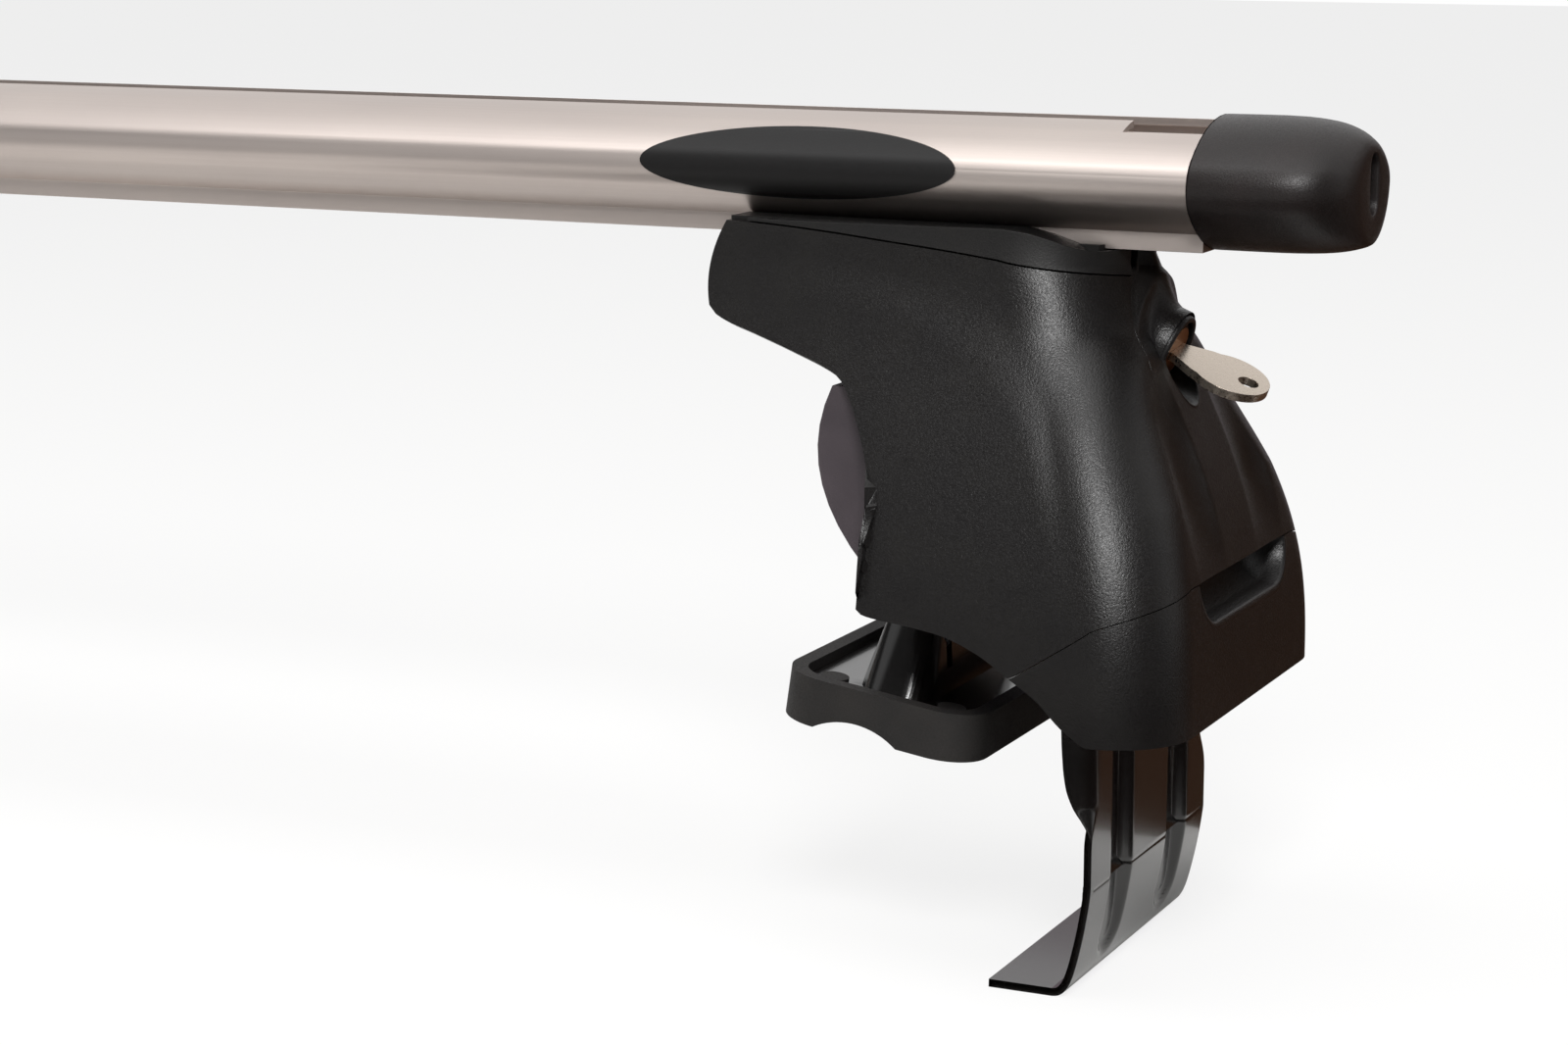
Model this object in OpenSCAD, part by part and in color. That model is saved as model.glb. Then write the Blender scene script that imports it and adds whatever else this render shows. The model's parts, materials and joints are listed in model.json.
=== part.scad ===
/* [Bar] */
// Length of the aluminium profile, without its end caps
bar_len = 1120; // [900:1:1400]
// Depth of the oval profile, front to back
bar_depth = 55; // [50:0.5:62]
// Height of the oval, without the flat rail under it
bar_height = 29.4; // [28:0.2:33]
// Radius of the oval's front and back noses
bar_nose = 7; // [6:0.1:9]
// Wall of the profile
bar_wall = 2; // [1.6:0.1:2.4]
// Width of the flat rail under the oval
rail_width = 29; // [26:0.5:34]
// How far the rail stands below the oval
rail_height = 1.6; // [1:0.1:2.4]
// Mouth of the slot on top, where accessories clamp
slot_mouth = 12; // [10:0.2:13]
// Width inside the slot on top
slot_width = 19; // [17:0.5:20]
// Depth of the slot on top, from its mouth to its floor
slot_depth = 9; // [8:0.2:10]
// Mouth of the channel underneath, where the clamp bolts hang
channel_mouth = 10; // [9:0.2:12]
// Width inside the channel underneath
channel_width = 19; // [17.5:0.5:20]
// Depth of the channel underneath, above its lips
channel_depth = 7; // [6.6:0.1:7.6]
// Thickness of the lips of both slots
lip = 2.5; // [2:0.1:3]
// Length of the entry milled into the slot's front lip at each end
entry_len = 21; // [14:0.5:30]

/* [Badge] */
// Length of the blank oval badge
badge_len = 86; // [70:1:100]
// Height of the blank oval badge
badge_height = 17.4; // [12:0.2:20]
// Thickness of the badge
badge_thick = 0.4; // [0.3:0.05:0.8]
// Distance from the bar's end to the middle of the badge
badge_inset = 102; // [90:1:130]

/* [End cap] */
// Length of the end cap outside the bar
cap_len = 37.5; // [30:0.5:45]
// How far the cap stands proud of the bar
cap_proud = 1.3; // [0.8:0.1:1.8]
// Width of the upright slot in the cap's end
cap_slot_width = 7; // [5:0.2:8]
// Height of the upright slot in the cap's end
cap_slot_height = 15; // [12:0.5:17]
// Length of the plugs that hold the cap in the bar
cap_plug = 22; // [15:1:30]

/* [Foot] */
// Distance from the bar's end to the outer end of the foot's cradle
foot_inset = 14; // [14:1:120]
// Height of the bar's underside above the hooks' lips
foot_height = 180.7; // [170:0.5:195]
// Half the width of the cradle under the bar
cradle_half = 28; // [26.5:0.1:28.4]
// Length of the cradle along the bar
cradle_len = 105; // [98:1:110]
// How far the cradle's rim cups the bar
cradle_rim = 5.3; // [4:0.1:6.5]
// Thickness of the cradle's floor under the bar
cradle_floor = 9; // [8:0.2:10]
// Sheet of the steel tower
tower_sheet = 3; // [2.5:0.1:3.4]
// Half the gap between the tower's two side plates
tower_gap = 19; // [18:0.2:20]

/* [Cover] */
// Wall of the moulded cover and skirt
cover_wall = 2.5; // [2:0.1:3]
// Half the depth of the cover at its top edge
cover_half_top = 30.8; // [30.5:0.1:32]
// Half the depth of the cover at its bottom edge
cover_half_bottom = 64.5; // [60:0.5:70]
// Reach of the end face beyond the cradle, at the bottom
cover_reach = 24; // [22:0.5:28]
// Distance from the bar's underside to the cover's bottom edge
cover_drop = 111.5; // [108:0.5:116]
// Radius of the upright corners
corner_radius = 20; // [16:0.5:24]
// Depth of the parting line below the bar, on the end face
seam_drop = 76.7; // [75:0.1:80]
// Gap of the parting line between cover and skirt
seam_gap = 0.5; // [0.3:0.05:0.8]
// Half the width of the finger recess
recess_half = 34; // [28:0.5:38]
// Depth of the finger recess below the parting line
recess_depth = 11; // [9:0.2:13]

/* [Lock] */
// Radius of the lock plug's face
plug_radius = 6.4; // [6:0.1:6.5]
// Radius of the lock barrel
barrel_radius = 7.5; // [7.3:0.1:8]
// Length of the lock barrel
barrel_len = 19; // [17:0.5:21]
// Downward tilt of the lock's axis
lock_tilt = 22; // [18:0.5:26]
// Turn of the key about the lock's axis
key_turn = 10; // [0:1:20]
// Length of the key's bow
bow_len = 25; // [20:0.5:28]
// Width of the key's bow
bow_width = 20; // [17:0.5:22]
// Thickness of the key
key_thick = 2.2; // [1.8:0.1:2.4]
// Length of the key's blade
blade_len = 16; // [12:0.5:17]

/* [Hook] */
// Width of the hook along the car
hook_width = 86.4; // [80:0.2:88]
// Sheet of the hook
hook_sheet = 2; // [1.8:0.1:2.4]
// Length of the hook's lip
lip_len = 19; // [12:0.5:22]
// How far the lower leg leans inwards over its height
leg_lean = 7.3; // [5:0.1:9]
// Height of the bend above the lip's underside
bend_height = 27.4; // [24:0.2:30]
// Width of each pressed groove
groove_width = 15; // [12:0.5:17]
// Depth of each pressed groove
groove_depth = 3.2; // [2:0.1:4]
// Radius of the pin that the hook hangs on
hook_pin_radius = 4; // [3.5:0.1:4.4]

/* [Clamp screw] */
// Radius of the clamp screw's shank
screw_radius = 4; // [3.5:0.1:4.2]
// Length of the clamp screw's shank
screw_len = 62; // [56:1:66]
// Radius of the clamp screw's head
head_radius = 6.5; // [6:0.1:7]
// Height of the clamp screw's head
head_height = 8; // [6:0.2:8.4]
// Width across the flats of the hexagon socket
socket_flats = 6; // [5:0.5:6]
// Radius of the washer
washer_radius = 9; // [8:0.2:9.4]
// Thickness of the washer
washer_thick = 2; // [1.5:0.1:2.4]
// Radius of the barrel nut
nut_radius = 8; // [7:0.2:9]

/* [Pad] */
// Width of the rubber pad across the car
pad_width = 54; // [48:1:58]
// Length of the rubber pad along the car
pad_length = 94; // [90:1:100]
// Height of the rubber pad, from its rim to its underside
pad_height = 12.3; // [11:0.1:14]
// Width of the pad's rim
rim_width = 4; // [3:0.2:5]
// Height of the rim above the steel plate
rim_height = 2.5; // [1.5:0.1:3.5]
// Tilt of the pad, outer side lower
pad_tilt = 8.4; // [4:0.2:12]
// Thickness of the pad's steel plate
plate_thick = 2.5; // [2:0.1:3]
// Radius of the pin that the pad rocks on
pad_pin_radius = 4; // [3.5:0.1:4.4]
// Radius of the rubber buttons that hold the plate
button_radius = 3.6; // [3:0.1:4.2]

/* [Hidden] */

// Clearance of a shaft that turns in a hole
run = 0.05;
// Clearance between pieces that slide or lie beside each other
slip = 0.3;
// Overlap that makes two shapes of one piece grow together
bite = 0.5;
// Cut beyond a face, so that no skin is left
past = 1;

bar_half = bar_depth / 2;
oval_half = bar_height / 2;
// Height of the oval's middle above the bar's underside
oval_up = oval_half + rail_height;

// Places in a foot: x from the cradle's outer end, z from the bar's underside
bolt_x = -60;
hook_pin_x = -7.5;
hook_pin_z = -45;
screw_z = -66;
nut_x = -40;
pad_pin_x = -55;
pad_pin_z = -96;
tower_top = -cradle_floor;
plug_x = 2.9;
plug_z = -26.2;
// Outer face of the hook's sheet
hook_face = hook_pin_x + hook_pin_radius + slip + hook_sheet;
// Level under which the hook has its full width
hook_shoulder = -79;
neck_half = tower_gap - 2;
housing_half = 39.5;
housing_wall = 2.5;

// Outline of the cover's front side, as x and z of its top and bottom edges
cover_top_edge = [[-105, 4.2], [-92.7, 3.5], [-79.3, 2.5], [-63.5, 1], [-45, -0.8], [-24.6, -3.1],
    [-9.3, -4.6], [4, -4.7]];
// Level of the cover's top edge on its end face
cover_end_top = -7.4;
cover_low_edge = [[-109, -17.7], [-104, -20.4], [-99, -22], [-86, -26.3], [-74, -30.4], [-71, -33],
    [-66, -44], [-61, -58], [-57.6, -78], [-56, -83.6], [-51, -86], [-42, -87], [-33, -88.4],
    [-24, -91.6], [-15, -97], [-8, -101.6], [-2, -107.4], [4, -cover_drop]];
body_x = -56;
flank_end = 4;
arm_x = -109;
skirt_x = -15;
// Level of the parting line where the flank meets the corner
seam_flank = seam_drop + 8.6;
cover_flare = 1.25;
cover_neck = 20;
corner_top = 6;
// Depth of the two soft hollows that leave a broad ridge under the lock
flute_depth = 1.6;

function mix(a, b, t) = a + (b - a) * t;
function clip(v, low, high) = min(max(v, low), high);

// Half depth of the cover at level z
function ease(t) = t * t * (3 - 2 * t);
function cover_half(z) = mix(cover_half_top, cover_half_bottom,
    ease(1 - pow(1 - clip((5 - z) / (5 + cover_drop), 0, 1), cover_flare)));
// Reach of the end face at level z: upright under the bar, then swelling out
function cover_end(z) = cover_reach
    * (1 - pow(1 - pow(clip((-z - cover_neck) / (cover_drop - cover_neck), 0, 1), 1.25), 2.8));
// Radius of the upright corner at level z
function cover_corner(z) = mix(corner_top, corner_radius, ease(clip((-z - 10) / 32, 0, 1)));
// Hollow beside the ridge, at a depth y of the end face and a level z
function flute(y, z) = flute_depth * max(0, 1 - pow((abs(y) - 23) / 11, 2)) * ease(clip((-z - 24) / 16, 0, 1))
    * ease(clip((z + 82) / 26, 0, 1));
// Inner end of the arm, a shallow bow
function cover_start(z) = arm_x + 0.0225 * pow(z + 9, 2);
// Level of the parting line along the flank
function seam_level(x) = -mix(seam_flank, seam_flank + 11.7, (flank_end - x) / (flank_end - skirt_x));

// One column is [x along the flank, turn round the corner, share of the end face]
// Point of the cover on a column at level z, moved in by the given inset
function cover_point(c, z, inset) =
    let (r = cover_corner(z), e = cover_end(z), d = cover_half(z),
        sx = c[0] <= body_x
            ? mix(cover_start(z), body_x, (c[0] - arm_x) / (body_x - arm_x))
            : mix(body_x, e - r, (c[0] - body_x) / (flank_end - body_x)))
    c[1] == 0 ? [sx, inset - d, z]
    : c[2] == 0 ? [e - r + (r - inset) * sin(c[1]), r - d - (r - inset) * cos(c[1]), z]
    : let (y = mix(r - d, 0, c[2])) [e - inset - flute(y, z), y, z];

// Columns of the front half, from one x along the flank to the middle of the end face
function half_columns(from_x, step) = concat(
    [for (p = cover_low_edge) if (p[0] >= from_x) [p[0], 0, 0]],
    [for (a = [step : step : 90]) [flank_end, a, 0]],
    [for (s = [0.12, 0.3, 0.5, 0.75, 1]) [flank_end, 90, s]]);
function low_level(c) = c[1] == 0 ? lookup(c[0], cover_low_edge) : -cover_drop;
function top_level(c) = c[1] == 0 ? lookup(c[0], cover_top_edge)
    : mix(cover_top_edge[7][1], cover_end_top, c[1] / 90);
function seam_at(c) = c[1] == 0 ? seam_level(c[0]) : mix(-seam_flank, -seam_drop, pow(c[1] / 90, 0.8));
function cover_span(c) = [c[1] == 0 && c[0] <= skirt_x ? low_level(c) : seam_at(c) + seam_gap / 2, top_level(c)];
function skirt_span(c) = [low_level(c), seam_at(c) - seam_gap / 2];

// Closed wall over a list of columns: outer and inner skins and the four edges between them
module shell(columns, spans, rows) {
    n = len(columns);
    m = 2 * n - 1;
    w = cover_wall;
    front = [for (i = [0 : n - 1]) for (j = [0 : rows])
        [for (inset = [0, w]) cover_point(columns[i], mix(spans[i][0], spans[i][1], j / rows), inset)]];
    back = [for (i = [n - 2 : -1 : 0]) for (j = [0 : rows])
        [for (k = [0, 1]) let (p = front[i * (rows + 1) + j][k]) [p[0], -p[1], p[2]]]];
    grid = concat(front, back);
    total = m * (rows + 1);
    points = concat([for (p = grid) p[0]], [for (p = grid) p[1]]);
    function at(i, j, k) = k * total + i * (rows + 1) + j;
    outer = [for (i = [0 : m - 2]) for (j = [0 : rows - 1])
        each [[at(i, j, 0), at(i + 1, j + 1, 0), at(i + 1, j, 0)],
            [at(i, j, 0), at(i, j + 1, 0), at(i + 1, j + 1, 0)]]];
    inner = [for (i = [0 : m - 2]) for (j = [0 : rows - 1])
        each [[at(i, j, 1), at(i + 1, j, 1), at(i + 1, j + 1, 1)],
            [at(i, j, 1), at(i + 1, j + 1, 1), at(i, j + 1, 1)]]];
    edges = [for (i = [0 : m - 2]) each [
        [at(i, 0, 0), at(i + 1, 0, 0), at(i + 1, 0, 1)], [at(i, 0, 0), at(i + 1, 0, 1), at(i, 0, 1)],
        [at(i, rows, 0), at(i + 1, rows, 1), at(i + 1, rows, 0)],
        [at(i, rows, 0), at(i, rows, 1), at(i + 1, rows, 1)]]];
    ends = [for (j = [0 : rows - 1]) each [
        [at(0, j, 0), at(0, j, 1), at(0, j + 1, 1)], [at(0, j, 0), at(0, j + 1, 1), at(0, j + 1, 0)],
        [at(m - 1, j, 0), at(m - 1, j + 1, 1), at(m - 1, j, 1)],
        [at(m - 1, j, 0), at(m - 1, j + 1, 0), at(m - 1, j + 1, 1)]]];
    polyhedron(points, concat(outer, inner, edges, ends), convexity = 8);
}

// Flat oval of four tangent arcs: half width a, half height b, nose radius r
module oval(a, b, r) {
    big = (pow(a - r, 2) + b * b - r * r) / (2 * (b - r));
    meet = (a - r) * big / (big - r);
    intersection() {
        translate([0, b - big]) circle(big, $fn = 180);
        translate([0, big - b]) circle(big, $fn = 180);
        square([2 * meet, 4 * b], center = true);
    }
    for (s = [-1, 1]) translate([s * (a - r), 0]) circle(r, $fn = 64);
}

// Bar

// Outside of the profile with its rail, grown by a clearance
module bar_outline(grow) {
    oval(bar_half + grow, oval_half + grow, bar_nose + grow);
    rail_top = -oval_half + 3;
    half = rail_width / 2 + grow;
    translate([-half, -oval_up - grow]) square([2 * half, rail_top + oval_up + grow]);
}

// A slot seen end on: the mouth opens up through lips of the given thickness
module slot_section(mouth, width, depth, top) {
    translate([-mouth / 2, top - depth]) square([mouth, depth + past]);
    translate([-width / 2, top - depth]) square([width, depth - lip]);
}

module bar_section() {
    core = slot_width / 2 + bar_wall;
    difference() {
        bar_outline(0);
        difference() {
            oval(bar_half - bar_wall, oval_half - bar_wall, bar_nose - bar_wall);
            square([2 * core, bar_depth], center = true);
        }
        slot_section(slot_mouth, slot_width, slot_depth, oval_half);
        mirror([0, 1]) slot_section(channel_mouth, channel_width, channel_depth + lip, oval_up);
    }
}

// Lays a section drawn in width and height along the bar, from x = 0 for the given length
module along_bar(length) {
    rotate([90, 0, 90]) linear_extrude(length) children();
}

module bar_extrusion() {
    entry_low = oval_half - lip - bite;
    color("#b9aea9") translate([0, 0, bar_z]) difference() {
        translate([-bar_len / 2, 0, 0]) along_bar(bar_len) bar_section();
        for (s = [-1, 1]) translate([s * (bar_len - entry_len) / 2, 0, 0])
            translate([-entry_len / 2 - (s < 0 ? past : 0), -slot_mouth / 2 - 8.2, entry_low])
                cube([entry_len + past, 8.2 + past, 4 * lip]);
    }
}

// The badge is a slice of a thin sleeve round the bar, cut out by an oval
module blank_badge() {
    color("#1c1a1b") translate([bar_len / 2 - badge_inset, 0, bar_z]) intersection() {
        translate([-badge_len / 2, 0, 0]) along_bar(badge_len) difference() {
            oval(bar_half + badge_thick, oval_half + badge_thick, bar_nose + badge_thick);
            oval(bar_half, oval_half, bar_nose);
        }
        translate([0, -bar_half / 2, 2.2]) rotate([90, 0, 0]) linear_extrude(bar_half)
            polygon([for (a = [0 : 5 : 355]) [badge_len / 2 * cos(a), badge_height / 2 * sin(a)]]);
    }
}

// Ring of a cap section: x along the bar, and how far its sides and its top have drawn in
cap_rings = [[0, 0, 0], [14, -0.1, -0.1], [22, 0.3, 0.3], [27, 1.3, 0.9], [30, 2.8, 1.7], [32.6, 5, 2.9],
    [34.8, 8, 4.2], [36.5, 11.8, 5.7], [37.5, 15.5, 7.2]];
cap_sides = 48;

// Point k of a quarter of the cap's section: nose for k up to 5, then the flatter arc up to k = 12
function cap_arc(k, a, b, r) =
    let (big = (pow(a - r, 2) + b * b - r * r) / (2 * (b - r)), turn = atan2(big - b, a - r),
        t = mix(turn, 90, (k - 5) / 7))
    k <= 5 ? [a - r + r * cos(turn * k / 5), r * sin(turn * k / 5)] : [big * cos(t), b - big + big * sin(t)];
function cap_point(ring, i) =
    let (q = floor(i / 12), k = i % 12, upper = q < 2,
        a = bar_half + cap_proud - ring[1],
        b = min(a - 1.2, (upper ? oval_half + cap_proud : oval_up + cap_proud * 0.3) - ring[2] * (upper ? 1 : 0.4)),
        r = min(max(bar_nose + cap_proud - ring[2] * 0.5, 2), b - 1),
        p = cap_arc(q % 2 == 0 ? k : 12 - k, a, b, r))
    [ring[0] * cap_len / 37.5, (q == 0 || q == 3 ? 1 : -1) * p[0], (upper ? 1 : -1) * p[1]];

// Point i of the upright slot's outline, on the same ray from the slot's middle as the last ring's point i
cap_slot_z = 0.5;
function cap_slot_point(x, i) =
    let (p = cap_point(cap_rings[len(cap_rings) - 1], i), a = atan2(p[2] - cap_slot_z, p[1]),
        r = cap_slot_width / 2, rise = cap_slot_height / 2 - r, c = cos(a), s = abs(sin(a)),
        far = r * s <= rise * abs(c) ? r / abs(c) : rise * s + sqrt(r * r - pow(rise * c, 2)))
    [x, far * c, cap_slot_z + far * sin(a)];

// Outside of the cap: rings along the bar, then in over the end and down the slot to its floor
module cap_body() {
    rings = len(cap_rings) + 2;
    floor_x = cap_len - 11;
    points = concat([for (r = cap_rings) for (i = [0 : cap_sides - 1]) cap_point(r, i)],
        [for (x = [cap_len, floor_x]) for (i = [0 : cap_sides - 1]) cap_slot_point(x, i)],
        [[0, 0, 0], [floor_x, 0, cap_slot_z]]);
    function at(k, i) = k * cap_sides + (i % cap_sides);
    sides = [for (k = [0 : rings - 2]) for (i = [0 : cap_sides - 1])
        each [[at(k, i), at(k + 1, i), at(k + 1, i + 1)], [at(k, i), at(k + 1, i + 1), at(k, i + 1)]]];
    near = [for (i = [0 : cap_sides - 1]) [rings * cap_sides, at(0, i), at(0, i + 1)]];
    far = [for (i = [0 : cap_sides - 1]) [rings * cap_sides + 1, at(rings - 1, i + 1), at(rings - 1, i)]];
    polyhedron(points, concat(sides, near, far), convexity = 6);
}

// End cap with its base on x = 0, pointing along +x
module end_cap() {
    color("#2c2625") {
        cap_body();
        translate([cap_len - 11 - bite, -cap_slot_width / 2 - bite, cap_slot_z - 0.8])
            cube([6 + bite, cap_slot_width + 2 * bite, 1.6]);
        translate([-cap_plug, 0, 0]) along_bar(cap_plug + bite) difference() {
            inset = bar_wall + slip;
            oval(bar_half - inset, oval_half - inset, bar_nose - inset);
            square([slot_width + 2 * (bar_wall + slip), bar_depth], center = true);
        }
    }
}

// Foot: every module below is drawn with the cradle's outer end at x = 0
// and the bar's underside at z = 0, for a foot at the +x end

// A hole or pin across the foot, along y
module cross(x, z, radius, half, sides = 64) {
    translate([x, half, z]) rotate([90, 0, 0]) cylinder(2 * half, r = radius, $fn = sides);
}

// A shape drawn in x and z, made as wide as the given half on both sides
module across(half) {
    translate([0, half, 0]) rotate([90, 0, 0]) linear_extrude(2 * half) children();
}

// Cradle under the bar: cups the bar and holds the cover's rails
module cradle() {
    pocket_z = 4;
    end_low = cover_end_top + slip;
    color("#1b1817") difference() {
        union() {
            across(cradle_half) polygon([[-cradle_len, cradle_rim], [-75, cradle_rim - 0.4], [-31, cradle_rim - 0.6],
                [-23.7, cradle_rim - 2.2], [-16.1, cradle_rim - 4.6], [-11.9, -1.8], [-7.7, -4],
                [-7.7, end_low], [-16, end_low], [-18, -cradle_floor], [-cradle_len + 4, -cradle_floor],
                [-cradle_len, -cradle_floor + 5]]);
            across(24) polygon([[-16, -1.8], [-11.9, -1.8], [-1, -4.2], [-1, end_low], [-16, end_low]]);
            across(rail_width / 2 + 2) polygon([[-24, 1], [-1, 1], [-1, end_low], [-24, end_low]]);
            across(12) polygon([[-cradle_len + 5, -cradle_floor + bite], [-84, -cradle_floor + bite],
                [-84, -cradle_floor - 10], [-96, -cradle_floor - 7]]);
        }
        translate([-cradle_len - past, 0, oval_up]) along_bar(cradle_len + 2 * past) bar_outline(slip);
        translate([-cradle_len - past, -rail_width / 2 - slip, 0])
            cube([cradle_len + 2 * past, rail_width + 2 * slip, oval_up]);
        translate([bolt_x, 0, -cradle_floor - past])
            cylinder(cradle_floor + 2 * past, r = 4.3, $fn = 48);
        translate([-7.6, -7.8, -cradle_floor]) cube([7.6 + past, 15.6, cradle_floor - 1.4]);
        for (x = [-28, -44, -92]) for (s = [-1, 1])
            translate([x - 6, s * 17 - 7, -cradle_floor - past]) cube([12, 14, pocket_z + past]);
        for (s = [-1, 1]) translate([-cradle_len - past, s > 0 ? cradle_half - rail_groove : -cradle_half - past, -5])
            cube([cradle_len + 2 * past, rail_groove + past, 3.6]);
    }
}

// Side plate of the tower, seen from the front
module tower_plate() {
    difference() {
        union() {
            polygon([[-78, tower_top - tower_sheet + bite], [-6, tower_top - tower_sheet + bite], [-5.5, -33],
                [0, -39], [0, -51], [-8, -59], [-8, -84], [-47, -96], [-63, -96], [-66, -60], [-70, -28]]);
            translate([pad_pin_x, pad_pin_z]) circle(8, $fn = 64);
        }
        translate([pad_pin_x, pad_pin_z]) circle(pad_pin_radius + run, $fn = 64);
        translate([hook_pin_x, hook_pin_z]) circle(hook_pin_radius + run, $fn = 64);
        translate([nut_x, screw_z]) circle(nut_radius + run, $fn = 64);
        translate([-54, -40]) circle(7, $fn = 48);
    }
}

// Pressed steel tower: a top plate and two side plates
module tower() {
    outer = tower_gap + tower_sheet;
    color("#6f7071") difference() {
        union() {
            for (s = [-1, 1]) translate([0, s > 0 ? outer : -tower_gap, 0])
                rotate([90, 0, 0]) linear_extrude(tower_sheet) tower_plate();
            translate([-78, -outer, tower_top - tower_sheet]) cube([48, 2 * outer, tower_sheet]);
        }
        translate([bolt_x, 0, tower_top - tower_sheet - past])
            cylinder(tower_sheet + 2 * past, r = 4.3, $fn = 48);
    }
}

// Catches for the lock's cam: an angle on the inner face of each side plate
module lock_catches() {
    leg = 6.5;
    color("#8d8d8b") for (s = [-1, 1]) translate([-13, 0, -24]) linear_extrude(10)
        polygon([[0, s * 12], [2, s * 12], [2, s * (tower_gap - 2)], [leg, s * (tower_gap - 2)],
            [leg, s * tower_gap], [0, s * tower_gap]]);
}

// Clamp bolt that hangs in the bar's lower channel
module tee_bolt() {
    head = 5;
    color("#9a9a98") translate([bolt_x, 0, 0]) {
        translate([-8, -8, lip]) cube([16, 16, head]);
        translate([0, 0, -26]) cylinder(26 + lip + bite, r = 4, $fn = 48);
    }
}

module tee_nut() {
    flange = 1.6;
    color("#9a9a98") translate([bolt_x, 0, tower_top - tower_sheet]) difference() {
        union() {
            translate([0, 0, -flange]) cylinder(flange, r = 9, $fn = 64);
            translate([0, 0, -flange - 6.5]) cylinder(6.5 + bite / 2, r = 7.5, $fn = 6);
        }
        translate([0, 0, -9]) cylinder(10, r = 4 + run, $fn = 48);
    }
}

// Inner end of the housing, bowed inwards under the bar
function bulge(z) = -76 + 0.0155 * pow(z + 50, 2);
housing_top = -34;
housing_low = -86;

module housing_profile(inset) {
    top = housing_top - inset;
    low = inset > 0 ? housing_low - 20 : housing_low;
    polygon(concat([for (z = [top : -5 : housing_low + 1]) [bulge(z) + inset, z]],
        [[bulge(housing_low) + inset, low], [-18 + inset, low], [-18 + inset, top]]));
}

// Moulded housing behind the cover: open below and outwards, slotted round the tower
module housing() {
    outer = tower_gap + tower_sheet + slip;
    color("#4a4347") difference() {
        across(housing_half) housing_profile(0);
        across(housing_half - housing_wall) housing_profile(housing_wall);
        translate([-40, -housing_half + housing_wall, -100])
            cube([60, 2 * (housing_half - housing_wall), 100 + housing_top - housing_wall]);
        translate([-90, -outer, -62]) cube([90, 2 * outer, 62]);
        for (s = [-1, 1]) translate([-72, s > 0 ? tower_gap - slip : -outer, -95])
            cube([60, tower_sheet + 2 * slip, 95 - 72.5]);
    }
}

// Places a shape on the lock's axis: its own +z points out of the lock, 0 at the plug's face
module on_lock() {
    translate([plug_x, 0, plug_z]) rotate([0, 90 + lock_tilt, 0]) children();
}

// Hood round the lock: a thin rim that flares to a broad root on the wall, and reaches down under the plug
module lock_hood() {
    intersection() {
        hull() {
            on_lock() translate([0, 0, -1.5]) cylinder(2.1, r = barrel_radius + 1.5, $fn = 32);
            on_lock() translate([7, 0, -4]) cylinder(2.5, r = barrel_radius - 0.5, $fn = 32);
            on_lock() translate([0, 0, -15]) cylinder(1, r = barrel_radius + 6.5, $fn = 32);
        }
        union() {
            translate([-2.4, -30, -30]) cube([30, 60, 40]);
            translate([0.6, -30, -60]) cube([30, 60, 30 + bite]);
        }
    }
}

// Pocket under the plug, where the key's shoulder goes
module lock_pocket() {
    intersection() {
        hull() for (drop = [0, 8.5])
            on_lock() translate([drop, 0, -4]) cylinder(12, r = barrel_radius + 0.3 - 0.1 * drop, $fn = 32);
        translate([2.8, -20, -60]) cube([30, 40, 60]);
    }
}

rail_groove = 1.2;
rail_from = cradle_half - rail_groove + slip;

// Upper cover: the moulded shell with the lock's boss and the crest that runs up to the bar
module cover() {
    columns = half_columns(arm_x, 15);
    spans = [for (c = columns) cover_span(c)];
    color("#242120") difference() {
        union() {
            shell(columns, spans, 13);
            lock_hood();
            hull() {
                translate([-4.1, 0, -3.6]) cube([2.4, 5, 3], center = true);
                translate([-4.1, 0, -6.6]) cube([2.4, 15, 1], center = true);
                on_lock() translate([-5.6, 0, -8]) cylinder(4.6, r = 4.2, $fn = 32);
            }
            for (s = [-1, 1]) translate([-100, s > 0 ? rail_from : -rail_from - 2.6, -4.4])
                cube([60, 2.6, 2.4]);
        }
        on_lock() translate([0, 0, -30]) cylinder(30.5, r = barrel_radius + run, $fn = 64);
        on_lock() translate([0, 0, -1]) cylinder(20, r = barrel_radius + 0.4, $fn = 64);
        lock_pocket();
    }
}

// Finger recess: two balls drawn across the end face, cut off at the parting line
module recess(grow) {
    ball = recess_depth + grow;
    hull() for (s = [-1, 1]) translate([cover_end(-seam_drop) + 1, s * (recess_half - recess_depth), -seam_drop])
        sphere(ball, $fn = 20);
}

// Lower skirt: the shell under the parting line, with the cup behind the finger recess
module skirt() {
    columns = half_columns(skirt_x, 15);
    spans = [for (c = columns) skirt_span(c)];
    level = -seam_drop - seam_gap / 2;
    tab = cover_end(level + 5) - cover_wall - slip;
    color("#242120") difference() {
        union() {
            shell(columns, spans, 6);
            intersection() {
                recess(2);
                translate([cover_end(-seam_drop) - 20, -50, level - 20]) cube([20 - 1, 100, 20]);
            }
            for (s = [-1, 1]) translate([0, s * (recess_half + 3.6), 0]) across(2.2) polygon([[tab - 2.6, level + 5],
                [tab, level + 5], [tab, level], [cover_end(level) - 1, level],
                [cover_end(level) - 1, level - 10], [tab - 2.6, level - 10]]);
        }
        recess(0);
    }
}

module lock_barrel() {
    color("#3a3836") on_lock() difference() {
        union() {
            translate([0, 0, -barrel_len]) cylinder(barrel_len - 0.6, r = barrel_radius, $fn = 64);
        }
        translate([0, 0, -barrel_len - past]) cylinder(barrel_len + 2 * past, r = plug_radius + run, $fn = 64);
    }
}

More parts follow.
